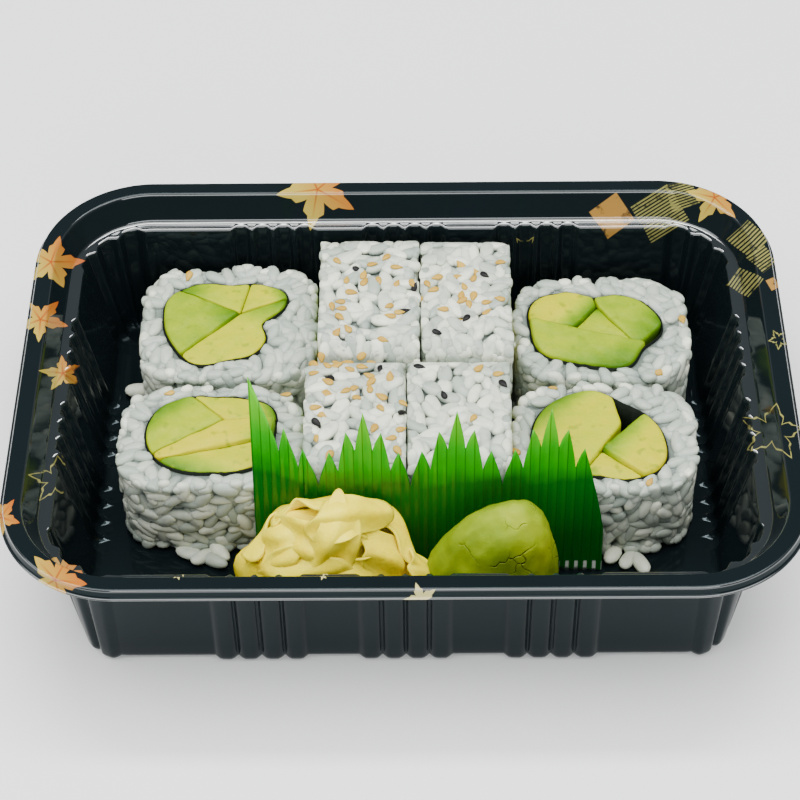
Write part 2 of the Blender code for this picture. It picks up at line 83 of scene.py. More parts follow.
CORNER_STATIONS = 66


class Wire:
    """A shader socket in an expression. Numbers become Math nodes, node() adds any other node."""

    def __init__(self, socket):
        self.socket = socket

    def node(self, kind, settings=None, inputs=None, output=0):
        made = self.socket.id_data.nodes.new("ShaderNode" + kind)
        for name, value in (settings or {}).items():
            if name == "stops":
                for _ in value[2:]:
                    made.color_ramp.elements.new(0.5)
                for element, (position, colour) in zip(made.color_ramp.elements, value):
                    element.position = position
                    element.color = (*colour, 1.0)
            else:
                setattr(made, name, value)
        for name, value in (inputs or {}).items():
            feed(made.inputs[name], value)
        return Wire(made.outputs[output])

    def beside(self, output):
        """Another output of the node that this one comes from."""
        return Wire(self.socket.node.outputs[output])

    def math(self, operation, *values):
        return self.node("Math", {"operation": operation}, dict(enumerate((self, *values))))

    def limited(self):
        return self.node("Clamp", None, {"Value": self})

    def blend(self, first, second):
        """The colour first where this number is 0, and second where it is 1."""
        settings = {"data_type": "RGBA", "clamp_factor": True}
        return self.node("Mix", settings, {0: self, 6: first, 7: second}, 2)

    def ramp(self, *stops):
        """The colour between stops, each a number and its colour."""
        return self.node("ValToRGB", {"stops": stops}, {0: self})

    def __add__(self, other):
        return self.math("ADD", other)

    def __sub__(self, other):
        return self.math("SUBTRACT", other)

    def __rsub__(self, other):
        return self.node("Math", {"operation": "SUBTRACT"}, {0: other, 1: self})

    def __mul__(self, other):
        return self.math("MULTIPLY", other)

    def __truediv__(self, other):
        return self.math("DIVIDE", other)

    def __pow__(self, other):
        return self.math("POWER", other)

    def __abs__(self):
        return self.math("ABSOLUTE")


def feed(socket, value):
    """Links a wire to a socket, or sets a number, colour or vector on it."""
    if isinstance(value, Wire):
        socket.id_data.links.new(value.socket, socket)
    elif socket.type == "RGBA":
        socket.default_value = (*value, 1.0)
    else:
        socket.default_value = value


def new_material(name, finish):
    """A material, its shader with the given uniform finish, and the place in millimetres."""
    material = bpy.data.materials.new(name)
    material.use_nodes = True
    tree = material.node_tree
    shader = tree.nodes["Principled BSDF"]
    for socket, value in finish.items():
        feed(shader.inputs[socket], value)
    start = Wire(tree.nodes.new("ShaderNodeTexCoord").outputs["Object"])
    place = start.node("VectorMath", {"operation": "SCALE"}, {0: start, "Scale": 1 / MM})
    return material, shader, place


def cloud(place, size, detail=2.0, roughness=0.5):
    """Soft noise from 0 to 1 with lumps of about the given size in millimetres."""
    inputs = {"Vector": place, "Scale": 1 / size, "Detail": detail, "Roughness": roughness}
    return place.node("TexNoise", None, inputs)


def marked(place, name):
    """The numbers that mark() keeps on a piece."""
    return place.node("Attribute", {"attribute_name": name}, None, 2)


def relief(height, depth):
    """A bump of the given depth in millimetres from a height of 0 to 1."""
    return height.node("Bump", None, {"Strength": 1.0, "Distance": depth * MM, "Height": height})


def printed_leaf(x, up, centre, radius, turn, drawn_only):
    """How strongly a five-lobed leaf is printed here, and how close its nearest vein is, if any."""
    across = x - centre[0]
    along = up - centre[1]
    reach = (across * across + along * along) ** 0.5
    angle = along.math("ARCTAN2", across)
    lobe = (angle * (2.5 / math.pi) + turn + 20.0).math("PINGPONG", 0.5) * 2
    tooth = (angle * (7.5 / math.pi) + turn * 3 + 60.0).math("PINGPONG", 0.5)
    edge = ((1 - lobe) ** 1.2 * 0.52 + 0.48 - tooth * 0.26) * radius
    if drawn_only:
        return (1.6 - abs(reach - edge) * 5).limited(), None
    vein = (1.2 - lobe * reach * 2.2).limited() * (1 - reach / (radius * 0.8)).limited()
    return ((edge - reach) * 6).limited(), vein


def printed_square(x, up, centre, half, turn, stripes):
    """A square of fine stripes, or a whole one."""
    beside, above = x - centre[0], up - centre[1]
    across = beside * math.cos(turn) + above * math.sin(turn)
    along = above * math.cos(turn) - beside * math.sin(turn)
    inside = ((half - abs(across).math("MAXIMUM", abs(along))) * 6).limited()
    if stripes:
        inside = inside * ((along * (math.tau / stripes)).math("SINE") * 1.4 + 0.65).limited()
    return inside


# Marks of the print: centre across the tray and up its slanting plane, size, turn, and for a
# square the pitch of its stripes, or 0
PRINT_SLANT = math.radians(47.8)
PRINT_FOOT = 27.0
LEAVES = (
    ((-88.6, 54.7), 7.2, 0.9),
    ((-89.2, 39.8), 5.8, 0.2),
    ((-83.4, 26.6), 4.6, 0.6),
    ((-22.4, 74.0), 10.8, 0.4),
    ((79.6, 71.0), 7.4, 0.7),
    ((-77.6, -19.9), 7.4, 0.1),
    ((-91.8, -6.6), 4.8, 0.2),
)
PALE_LEAVES = (
    ((-18.2, -19.3), 1.1, 0.5),
    ((-50.4, -19.0), 1.2, 0.0),
    ((3.6, -24.6), 4.0, 0.5),
)
DRAWN_LEAVES = (
    ((86.6, 11.6), 6.6, 0.9),
    ((-81.8, 1.4), 5.4, 0.7),
    ((90.6, 33.6), 2.4, 0.4),
    ((31.4, 58.4), 3.6, 0.2),
)
SQUARES = (
    ((53.6, 66.8), 4.3, 0.62, 0.0),
    ((65.8, 67.4), 5.6, 0.55, 0.8),
    ((71.5, 72.0), 3.6, 0.3, 0.7),
    ((87.2, 59.8), 3.6, 0.75, 0.85),
    ((89.8, 54.2), 2.7, 0.6, 0.75),
    ((85.1, 48.6), 2.9, 0.9, 0.75),
    ((91.4, 47.8), 1.5, 0.4, 0.0),
)

BLACK = (0.0045, 0.0075, 0.0085)
LEAF_YELLOW = (0.40, 0.30, 0.05)
LEAF_ORANGE = (0.40, 0.09, 0.01)
LEAF_VEIN = (0.26, 0.01, 0.0)
PALE_GOLD = (0.30, 0.28, 0.08)
SQUARE_ORANGE = (0.34, 0.18, 0.04)
CREAM = (0.50, 0.45, 0.18)

black_plastic, shader, place = new_material("printed_black_plastic", {
    "IOR": 1.24, "Specular Tint": (0.72, 0.93, 1.0), "Coat IOR": 1.95, "Coat Roughness": 0.06,
})
x = place.node("SeparateXYZ", None, {0: place}, 0)
up = x.beside(1) * math.sin(PRINT_SLANT) + x.beside(2) * math.cos(PRINT_SLANT)
on_rim = (x.beside(2) - PRINT_FOOT).limited()
worn = ((cloud(place, 3.2, 3.0, 0.7) - 0.30) * 6).limited() * on_rim
colour = cloud(place, 14.0).blend(BLACK, (0.005, 0.009, 0.011))
for centre, half, turn, stripes in SQUARES:
    shade, strength = (PALE_GOLD, 0.65) if stripes else (SQUARE_ORANGE, 0.9)
    mask = printed_square(x, up, centre, half, turn, stripes) * worn * strength
    colour = mask.blend(colour, shade)
for centre, radius, turn in DRAWN_LEAVES:
    mask, _ = printed_leaf(x, up, centre, radius, turn, True)
    colour = (mask * worn * 0.8).blend(colour, PALE_GOLD)
for centre, radius, turn in LEAVES:
    mask, vein = printed_leaf(x, up, centre, radius, turn, False)
    warmth = ((x - centre[0]) * 0.7 + (up - centre[1]) * 0.4) / radius + 0.35
    ink = warmth.limited().blend(LEAF_YELLOW, LEAF_ORANGE)
    colour = (mask * on_rim).blend(colour, (vein * 0.8).blend(ink, LEAF_VEIN))
for centre, radius, turn in PALE_LEAVES:
    mask, _ = printed_leaf(x, up, centre, radius, turn, False)
    colour = (mask * on_rim).blend(colour, CREAM)
feed(shader.inputs["Base Color"], colour)
feed(shader.inputs["Roughness"], cloud(place, 5.0, 4.0, 0.7) * 0.04 + 0.04)
feed(shader.inputs["Normal"], relief(cloud(place, 9.0, 1.0), 0.03))
feed(shader.inputs["Coat Weight"], marked(place, "glint"))


def smooth(share):
    """Eases a share from 0 to 1 in and out."""
    return share * share * (3 - 2 * share)


def tray_stations():
    """Round the outline: points inside it, the angles out from them, and how far flutes swell."""
    half_x = TRAY_HALF_X - TRAY_CORNER
    half_y = TRAY_HALF_Y - TRAY_CORNER
    corners = np.array(((half_x, half_y), (-half_x, half_y), (-half_x, -half_y), (half_x, -half_y)))
    bases = []
    angles = []
    offsets = []
    for quarter in range(4):
        start, end = corners[quarter - 1], corners[quarter]
        length = float(np.hypot(*(end - start)))
        groups = LONG_SIDE_GROUPS if quarter % 2 else SHORT_SIDE_GROUPS
        centres = [
            group + (index - (FLUTES_IN_GROUP - 1) / 2) * FLUTE_PITCH
            for group in groups
            for index in range(FLUTES_IN_GROUP)
        ]
        steps = round(length / STATION_STEP)
        for step in range(steps):
            along = step / steps
            bases.append(start + (end - start) * along)
            angles.append(quarter * math.pi / 2)
            offset = min(abs((along - 0.5) * length - centre) for centre in centres)
            offsets.append(offset / FLUTE_PITCH)
        centres = [
            0.5 + (index - (CORNER_FLUTES - 1) / 2) * CORNER_FLUTE_SHARE
            for index in range(CORNER_FLUTES)
        ]
        for step in range(CORNER_STATIONS):
            share = step / CORNER_STATIONS
            bases.append(end)
            angles.append((quarter + share) * math.pi / 2)
            offsets.append(min(abs(share - centre) for centre in centres) / CORNER_FLUTE_SHARE)
    swell = smooth(np.clip((0.5 - np.array(offsets)) / FLUTE_FLANK, 0, 1))
    return np.array(bases), np.array(angles), swell


def tray_rows():
    """The upper face from the floor to the lip's edge: insets, height, fullness, swelling, toe."""
    foot = (SIDE_FOOT_INSET, FRONT_FOOT_INSET)
    rows = [(TRAY_CORNER - 0.01, TRAY_CORNER - 0.01, FLOOR_TOP, 2.0, 0.0, 0.0)]
    for step in range(TOE_ROWS + 1):
        share = step / TOE_ROWS
        reach = COVE + TOE_LENGTH * (1 - share)
        rows.append((foot[0] + reach, foot[1] + reach, FLOOR_TOP, FOOT_FULLNESS, share, smooth(share)))
    for step in range(1, COVE_ROWS + 1):
        angle = math.pi / 2 * step / COVE_ROWS
        reach = COVE * (1 - math.sin(angle))
        rise = COVE * (1 - math.cos(angle))
        toe = math.cos(angle)
        rows.append((foot[0] + reach, foot[1] + reach, FLOOR_TOP + rise, FOOT_FULLNESS, 1.0, toe))
    wall_foot = FLOOR_TOP + COVE
    wall_top = LEDGE - 0.8
    for step in range(1, WALL_ROWS + 1):
        share = step / WALL_ROWS
        inset_x = foot[0] + (WALL_TOP_INSET - foot[0]) * share
        inset_y = foot[1] + (WALL_TOP_INSET - foot[1]) * share
        fullness = FOOT_FULLNESS + (2.0 - FOOT_FULLNESS) * share
        rows.append((inset_x, inset_y, wall_foot + (wall_top - wall_foot) * share, fullness, 1.0, 0.0))
    ledge = (
        (10.92, -0.45, 1.0), (10.7, -0.16, 1.0), (10.3, -0.03, 1.0), (9.7, 0.02, 0.75),
        (8.9, 0.06, 0.2), (8.3, 0.12, 0.0), (7.95, 0.3, 0.0), (7.7, 0.75, 0.0), (6.7, 2.75, 0.0),
        (5.3, 5.5, 0.0),
    )
    rows.extend((inset, inset, LEDGE + rise, 2.0, swelling, 0.0) for inset, rise, swelling in ledge)
    rim = (
        (4.9, 0.6), (4.65, 0.2), (4.4, 0.04), (4.15, 0.0), (3.9, 0.0), (1.15, 0.0), (0.95, 0.01),
        (0.78, 0.08), (0.66, 0.2), (0.58, 0.4), (0.52, 0.65), (0.26, 1.65), (0.17, 1.85), (0.0, 2.0),
        (-0.2, 2.06), (-0.42, 2.16), (-0.48, 2.3),
    )
    rows.extend((inset, inset, TRAY_HEIGHT - drop, 2.0, 0.0, 0.0) for inset, drop in rim)
    return rows


def add_object(name, data):
    """An object in the scene with a mesh, lamp or camera."""
    made = bpy.data.objects.new(name, data)
    bpy.context.scene.collection.objects.link(made)
    return made


def add_piece(name, points, faces, material, nodes):
    """A smooth mesh from points in millimetres, which stands for the named CAD nodes."""
    mesh = bpy.data.meshes.new(name)
    mesh.from_pydata([tuple(point) for point in np.asarray(points) * MM], [], faces)
    mesh.materials.append(material)
    mesh.shade_smooth()
    piece = add_object(name, mesh)
    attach(piece, "root")
    if nodes:
        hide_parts(*nodes)
    return piece


def mark(piece, name, values):
    """Keeps one number for each point of a piece, for its material to read."""
    layer = piece.data.attributes.new(name, "FLOAT", "POINT")
    layer.data.foreach_set("value", np.asarray(values, dtype=np.float32))


def merge_close(piece, distance):
    """Joins the points of a piece that lie closer than this many millimetres."""
    mesh = bmesh.new()
    mesh.from_mesh(piece.data)
    bmesh.ops.remove_doubles(mesh, verts=mesh.verts, dist=distance * MM)
    mesh.to_mesh(piece.data)
    mesh.free()


def thicken(piece, thickness, offset):
    """Gives a sheet its thickness in millimetres, behind its face at offset -1 or about it at 0."""
    sheet = piece.modifiers.new("sheet", "SOLIDIFY")
    sheet.thickness = thickness * MM
    sheet.offset = offset
    graph = bpy.context.evaluated_depsgraph_get()
    thin = piece.data
    solid = bpy.data.meshes.new_from_object(piece.evaluated_get(graph))
    piece.modifiers.clear()
    piece.data = solid
    bpy.data.meshes.remove(thin)


def band_faces(first, second, count, flipped=False):
    """Quads between two closed rings of equal count that start at the given points."""
    faces = []
    for index in range(count):
        after = (index + 1) % count
        face = (first + index, first + after, second + after, second + index)
        faces.append(face[::-1] if flipped else face)
    return faces


def ring_faces(rings, count, flipped=False):
    """Bands of quads up a stack of closed rings, each with this many points."""
    faces = []
    for row in range(rings - 1):
        faces.extend(band_faces(row * count, (row + 1) * count, count, flipped))
    return faces


bases, angles, swell = tray_stations()
cosine, sine = np.cos(angles), np.sin(angles)
tray_points = []
glints = []
for inset_x, inset_y, height, fullness, swelling, toe in tray_rows():
    below_rim = TRAY_HEIGHT - height
    bright = 0.05 < below_rim < 0.45 or inset_x < -0.1 or abs(height - LEDGE) < 0.4
    glints.append(np.full(len(swell), 1.0 if bright else 0.0))
    out_x = np.sign(cosine) * np.abs(cosine) ** (2 / fullness)
    out_y = np.sign(sine) * np.abs(sine) ** (2 / fullness)
    bulge = FLUTE_DEPTH * swell * swelling
    ring_x = bases[:, 0] + (TRAY_CORNER - inset_x + bulge) * out_x
    ring_y = bases[:, 1] + (TRAY_CORNER - inset_y + bulge) * out_y
    tray_points.append(np.stack((ring_x, ring_y, height - TOE_DEPTH * toe * swell), axis=1))
around = len(swell)
tray_faces = [tuple(range(around)), *ring_faces(len(tray_points), around, True)]
tray = add_piece("tray_dressed", np.concatenate(tray_points), tray_faces, black_plastic,
                 ["tray"])
mark(tray, "glint", np.concatenate(glints))
merge_close(tray, 0.05)
thicken(tray, TRAY_SHEET, -1.0)
tray.data.shade_smooth()

# Rice. Each roll is a pressed block of cooked short-grain rice round its seaweed, cut 25 mm
# thick. Grains stick together but keep their shape on the sides; on the four rolls that lie
# on their side the rolling mat has pressed the top nearly flat.

FLOOR = 0.9
SLICE = 25.0
NORI = 0.25
GRAIN_LENGTH = 7.6
GRAIN_WIDTH = 3.8
GRAIN_THICKNESS = 3.1
OUTLINE_STEPS = 720
EDGE_MARGIN = 1.2
SIDE_ROW_STEP = 0.85
FACE_ROW_STEP = 0.86
FACE_SPACING = 0.88
CORE_INSET = 2.0
CORE_END = 1.3
CORE_SIDES = 96
SEAWEED_GAP = 0.15

FACE_UP_ROLLS = {
    "front_left": {
        "centre": (-47.2, -8.0), "block": (22.6, 16.8, 3.4), "offset": (0.5, 0.3),
        "fill": (14.8, 16.4, 13.4, 12.0, 13.6, 15.7, 16.0, 15.0, 13.0, 11.8, 13.2, 15.4),
    },
    "rear_left": {
        "centre": (-44.5, 30.4), "block": (22.4, 19.8, 4.4), "offset": (0.1, -0.6),
        "fill": (8.2, 16.6, 15.4, 13.2, 15.8, 17.8, 16.4, 15.6, 16.0, 12.6, 12.4, 10.8),
    },
    "rear_right": {
        "centre": (49.6, 27.6), "block": (22.2, 18.2, 3.4), "offset": (-1.6, -0.5),
        "fill": (16.6, 15.6, 13.2, 10.6, 14.4, 17.8, 16.2, 16.2, 13.2, 12.9, 14.8, 13.2),
    },
    "front_right": {
        "centre": (48.2, -8.8), "block": (22.3, 17.5, 3.4), "offset": (-1.6, -0.6),
        "fill": (15.8, 13.9, 12.7, 14.6, 15.0, 15.6, 15.8, 15.6, 13.0, 12.0, 15.0, 17.4),
    },
}
ON_SIDE_ROLLS = {
    "rear_mid_left": {"x": (-21.3, 3.6), "y": (10.6, 52.6), "high": 34.6},
    "rear_mid_right": {"x": (4.1, 26.6), "y": (10.8, 52.2), "high": 34.4},
    "front_mid_left": {"x": (-24.1, 0.2), "y": (-26.2, 10.0), "high": 34.2},
    "front_mid_right": {"x": (0.7, 25.4), "y": (-26.2, 10.2), "high": 34.0},
}
ON_SIDE_FILL = (13.2, 13.6, 12.6, 11.6, 12.6, 13.6, 13.2, 13.4, 12.4, 11.4, 12.4, 13.4)
ON_SIDE_FULLNESS = 7.0

rice_material, shader, place = new_material("cooked_rice", {
    "Roughness": 0.25, "IOR": 1.34, "Subsurface Weight": 0.25, "Subsurface Scale": 0.0016,
    "Subsurface Radius": (1.0, 0.9, 0.75),
})
depth = marked(place, "depth")
tone = marked(place, "tone")
glassy = ((cloud(place, 3.0, 2.0) - 0.45) * 3).limited()
colour = tone.blend((0.34, 0.40, 0.34), (0.84, 0.87, 0.70))
colour = (glassy * 0.5).blend(colour, (0.30, 0.36, 0.34))
# Darker where a point lies deeper under the roll's outer form: painted shade in the crevices between
# grains.
colour = ((depth - 0.4) * 0.75).limited().blend(colour, (0.10, 0.13, 0.12))
feed(shader.inputs["Base Color"], colour)
feed(shader.inputs["Normal"], relief(cloud(place, 1.1, 2.0, 0.6), 0.06))


def closed_radius(radii, angle):
    """The radius of a smooth closed outline at each angle, through radii at even steps."""
    values = np.asarray(radii)
    count = len(values)
    turn = np.mod(np.asarray(angle) / math.tau * count, count)
    index = turn.astype(int) % count
    share = turn - np.floor(turn)
    here, after = values[index], values[(index + 1) % count]
    slope_here = (after - values[index - 1]) / 2
    slope_after = (values[(index + 2) % count] - here) / 2
    square, cube = share**2, share**3
    bend = slope_here * (cube - 2 * square + share) + slope_after * (cube - square)
    return here * (2 * cube - 3 * square + 1) + after * (3 * square - 2 * cube) + bend


def block_radius(block, angle):
    """The radius of a rounded block at each angle: half width, half depth and fullness."""
    half_width, half_depth, fullness = block
    across = np.abs(np.cos(angle) / half_width) ** fullness
    along = np.abs(np.sin(angle) / half_depth) ** fullness
    return (across + along) ** (-1 / fullness)


def grain_shape():
    """Points and triangles of one cooked grain: a blunt oval that is bent a little."""
    rows = 8
    sides = 10
    points = [(-1.0, 0.0, 0.0)]
    for row in range(1, rows):
        along = -math.cos(math.pi * row / rows)
        girth = (1 - abs(along) ** 2.4) ** 0.5
        for column in range(sides):
            turn = math.tau * column / sides
            points.append((along, girth * math.cos(turn), girth * math.sin(turn)))
    points.append((1.0, 0.0, 0.0))
    faces = []
    last = len(points) - 1
    for column in range(sides):
        after = (column + 1) % sides
        faces.append((0, 1 + after, 1 + column))
        faces.append((last, last - sides + column, last - sides + after))
        for row in range(rows - 2):
            low, high = 1 + row * sides, 1 + (row + 1) * sides
            faces.append((low + column, low + after, high + after))
            faces.append((low + column, high + after, high + column))
    points = np.array(points)
    points[:, 1] *= 1 - 0.12 * points[:, 0]
    points[:, 2] += 0.18 * points[:, 0] ** 2 - 0.06
    return points * (GRAIN_LENGTH / 2, GRAIN_WIDTH / 2, GRAIN_THICKNESS / 2), np.array(faces)


def lay_grains(spots, normals, draw, tilt):
    """Grains at the spots, each along the surface with its own heading, tilt, size and tone."""
    shape, shape_faces = grain_shape()
    points = []
    faces = []
    tones = []
    for index, (spot, normal) in enumerate(zip(spots, normals)):
        up = Vector(normal) + Vector([draw.uniform(-tilt, tilt) for _ in range(3)])
        turn = Vector((0, 0, 1)).rotation_difference(up).to_matrix()
        turn = np.array(turn @ Matrix.Rotation(draw.uniform(0, math.tau), 3, "Z"))
        size = (draw.uniform(0.80, 1.06), draw.uniform(0.88, 1.1), draw.uniform(0.85, 1.05))
        points.append((shape * size) @ turn.T + spot)
        faces.append(shape_faces + index * len(shape))
        tones.append(np.full(len(shape), draw.random()))
    return np.concatenate(points), np.concatenate(faces), np.concatenate(tones)


def block_spots(block, length, hole_radius, offset, draw, spacing, depth_range):
    """Where grains lie: on the block's sides and round the filling on both cut faces."""
    half = length / 2
    turns = np.linspace(0, math.tau, OUTLINE_STEPS + 1)
    radius = block_radius(block, turns)
    edge = np.stack((radius * np.cos(turns), radius * np.sin(turns)), axis=1)
    steps = np.hypot(*np.diff(edge, axis=0).T)
    run = np.concatenate(((0,), np.cumsum(steps)))
    spots = []
    normals = []
    span = length - 2 * EDGE_MARGIN
    rows = max(2, round(span / (spacing * SIDE_ROW_STEP)))
    per_row = round(run[-1] / spacing)
    for row in range(rows):
        height = -half + EDGE_MARGIN + span * (row + 0.5) / rows
        for index in range(per_row):
            along = (index + 0.5 * (row % 2) + draw.uniform(-0.35, 0.35)) / per_row % 1.0 * run[-1]
            step = min(int(np.searchsorted(run, along)), OUTLINE_STEPS) - 1
            tangent = (edge[step + 1] - edge[step]) / steps[step]
            normal = np.array((tangent[1], -tangent[0], 0.0))
            spot = np.array((*edge[step], height + draw.uniform(-0.9, 0.9)))
            spots.append(spot - normal * draw.uniform(*depth_range))
            normals.append(normal)
    reach_x, reach_y, _ = block
    spacing *= FACE_SPACING
    for side in (-1, 1):
        for row in range(int(2 * reach_y / (spacing * FACE_ROW_STEP)) + 1):
            for column in range(int(2 * reach_x / spacing) + 1):
                x = -reach_x + (column + 0.5 * (row % 2)) * spacing + draw.uniform(-0.8, 0.8)
                y = -reach_y + row * spacing * FACE_ROW_STEP + draw.uniform(-0.8, 0.8)
                hole = hole_radius(math.atan2(y - offset[1], x - offset[0]))
                if math.hypot(x - offset[0], y - offset[1]) < hole + 0.8:
                    continue
                if math.hypot(x, y) > block_radius(block, math.atan2(y, x)) - EDGE_MARGIN:
                    continue
                spots.append(np.array((x, y, side * (half - draw.uniform(*depth_range)))))
                normals.append(np.array((0.0, 0.0, float(side))))
    return spots, normals


def tube(outer, inner, heights):
    """A closed tube from an outer and an inner outline, and its lowest and highest level."""
    count = len(outer)
    low, high = heights
    rings = [(inner, low), (outer, low), (outer, high), (inner, high)]
    points = np.concatenate([np.column_stack((ring, np.full(count, level))) for ring, level in rings])
    faces = []
    for step in range(4):
        faces.extend(band_faces(step * count, (step + 1) % 4 * count, count))
    return points, faces


def outline(radius_at, count, offset=(0.0, 0.0)):
    """Points at even angles round a closed outline."""
    turns = np.arange(count) * math.tau / count
    radius = radius_at(turns)
    return np.stack((radius * np.cos(turns) + offset[0], radius * np.sin(turns) + offset[1]), axis=1)


def press_back(local, block, half, give):
    """Moves points outside the block back until that share of their way out is left."""
    radius = np.hypot(local[:, 0], local[:, 1])
    limit = block_radius(block, np.arctan2(local[:, 1], local[:, 0]))
    cut_back = np.where(radius > limit, (limit + (radius - limit) * give) / radius, 1.0)
    local[:, :2] *= cut_back[:, None]
    high = np.abs(local[:, 2])
    local[:, 2] = np.sign(local[:, 2]) * np.where(high > half, half + (high - half) * 0.3, high)
    return limit


def clear_filling(local, hole_radius, offset):
    """Moves points out of the hole that the seaweed and filling take up."""
    ray = local[:, :2] - offset
    ray_radius = np.hypot(ray[:, 0], ray[:, 1])
    hole = hole_radius(np.arctan2(ray[:, 1], ray[:, 0]))
    widen = np.where(ray_radius < hole, hole / np.maximum(ray_radius, 0.01), 1.0)
    local[:, :2] = offset + ray * widen[:, None]


def make_rice(name, roll, seed):
    """One roll's rice: single grains round a core, pressed back to its block and off the seaweed."""
    draw = random.Random(seed)
    block, offset, length, pressed = roll["block"], roll["offset"], roll["length"], roll["pressed"]
    half = length / 2

    def hole_radius(angle):
        return closed_radius(roll["fill"], angle) + NORI + 2 * SEAWEED_GAP

    depth_range = (0.7, 1.8) if pressed else (1.1, 2.1)
    spacing = 3.5 if pressed else 3.45
    spots, normals = block_spots(block, length, hole_radius, offset, draw, spacing, depth_range)
    points, faces, tones = lay_grains(spots, normals, draw, 0.14 if pressed else 0.28)
    # Grains on the cut faces of the rolls that stand face up get far darker tones than those on their
    # sides: painted shade that holds down the upward faces under the lamp above.
    if not pressed:
        on_cut_face = [abs(normal[2]) > 0.5 for normal in normals]
        on_cut_face = np.repeat(on_cut_face, len(tones) // len(normals))
        tones *= np.where(on_cut_face, 0.3, 0.9)
    core_outer = outline(lambda turns: block_radius(block, turns) - CORE_INSET, CORE_SIDES)
    core_inner = outline(hole_radius, CORE_SIDES, offset)
    core, core_faces = tube(core_outer, core_inner, (CORE_END - half, half - CORE_END))
    all_faces = [tuple(face) for face in faces.tolist()]
    all_faces.extend(tuple(corner + len(points) for corner in face) for face in core_faces)
    # The core shows only in the gaps between grains and takes the darkest tone: painted shade between
    # the grains.
    tones = np.concatenate((tones, np.zeros(len(core))))
    local = np.concatenate((points, core))
    limit = press_back(local, block, half, 0.10 if pressed else 0.35)
    clear_filling(local, hole_radius, offset)
    # How deep each point lies under the block's outer form, which the material turns into painted shade
    # in the crevices.
    painted_shade_depth = np.minimum(limit - np.hypot(local[:, 0], local[:, 1]), half - np.abs(local[:, 2]))
    piece = add_piece(name + "_rice_grains", roll["to_place"](local), all_faces, rice_material,
                      [name + "_rice"])
    mark(piece, "depth", np.clip(painted_shade_depth, 0, 4))
    mark(piece, "tone", tones)
    return piece


def stand_up(centre):
    """Puts local points of a slice at its place with the cut face up."""
    shift = np.array((*centre, FLOOR + SLICE / 2))
    return lambda local: local + shift


def lay_down(centre):
    """Puts local points of a slice on their side: its length along X and its own Y axis up."""
    return lambda local: local[:, (2, 0, 1)] + np.array(centre)


rolls = {}
for name, roll in FACE_UP_ROLLS.items():
    rolls[name] = {**roll, "length": SLICE, "to_place": stand_up(roll["centre"]), "pressed": False}
for name, roll in ON_SIDE_ROLLS.items():
    left, right = roll["x"]
    near, far = roll["y"]
    middle = ((left + right) / 2, (near + far) / 2, FLOOR + roll["high"] / 2)
    rolls[name] = {
        "block": ((far - near) / 2, roll["high"] / 2, ON_SIDE_FULLNESS), "offset": (0.0, 0.0),
        "fill": ON_SIDE_FILL, "length": right - left, "to_place": lay_down(middle), "pressed": True,
    }
rice_pieces = {name: make_rice(name, roll, seed) for seed, (name, roll) in enumerate(rolls.items())}

draw = random.Random(5)
LOOSE_GRAINS = (
    (-52.7, -25.8, 2.4), (-49.6, -26.9, 2.3), (-46.6, -28.2, 2.3), (-45.4, -25.6, 2.6),
    (50.3, -27.0, 2.3), (54.0, -28.4, 2.1), (57.0, -29.6, 2.3), (-69.2, 28.4, 2.3),
)
points, faces, tones = lay_grains([np.array(spot) for spot in LOOSE_GRAINS],
                                  [(0.0, 0.0, 1.0)] * len(LOOSE_GRAINS), draw, 0.2)
points[:, 2] = np.maximum(points[:, 2], FLOOR)
crumbs = add_piece("loose_rice_grains", points, faces.tolist(), rice_material, [])
mark(crumbs, "tone", tones)

# Seaweed. One sheet of dried, roasted nori, nearly black, rolled round the filling; at the cut
# face its edge shows as a thin, slightly ragged dark line.

NORI_SIDES = 160
NORI_DRAWN_IN = 0.5

nori_material, shader, place = new_material("roasted_seaweed", {"Roughness": 0.6, "IOR": 1.2})
fibre = cloud(place, 1.4, 4.0, 0.7)
feed(shader.inputs["Base Color"], fibre.blend((0.002, 0.004, 0.003), (0.008, 0.012, 0.007)))
feed(shader.inputs["Normal"], relief(fibre, 0.15))

for name, roll in rolls.items():
    half = roll["length"] / 2 - NORI_DRAWN_IN
    inner, outer = (
        outline(lambda turns: closed_radius(roll["fill"], turns) + out, NORI_SIDES, roll["offset"])
        for out in (SEAWEED_GAP, SEAWEED_GAP + NORI)
    )
    points, faces = tube(outer, inner, (-half, half))
    for point in points:
        wave = noise.noise(Vector((point[0] * 0.5, point[1] * 0.5, point[2])))
        point[2] += math.copysign(0.45 * max(wave, -0.3), point[2])
    add_piece(name + "_nori_sheet", roll["to_place"](points), faces, nori_material,
              [name + "_nori"])

# Avocado. Ripe slices laid side by side in the roll and cut through with it: pale yellow flesh
# that turns green towards the skin, moist, with slightly rounded cut edges.

FILLING_SIDES = 144
SLICE_SIDES = 88

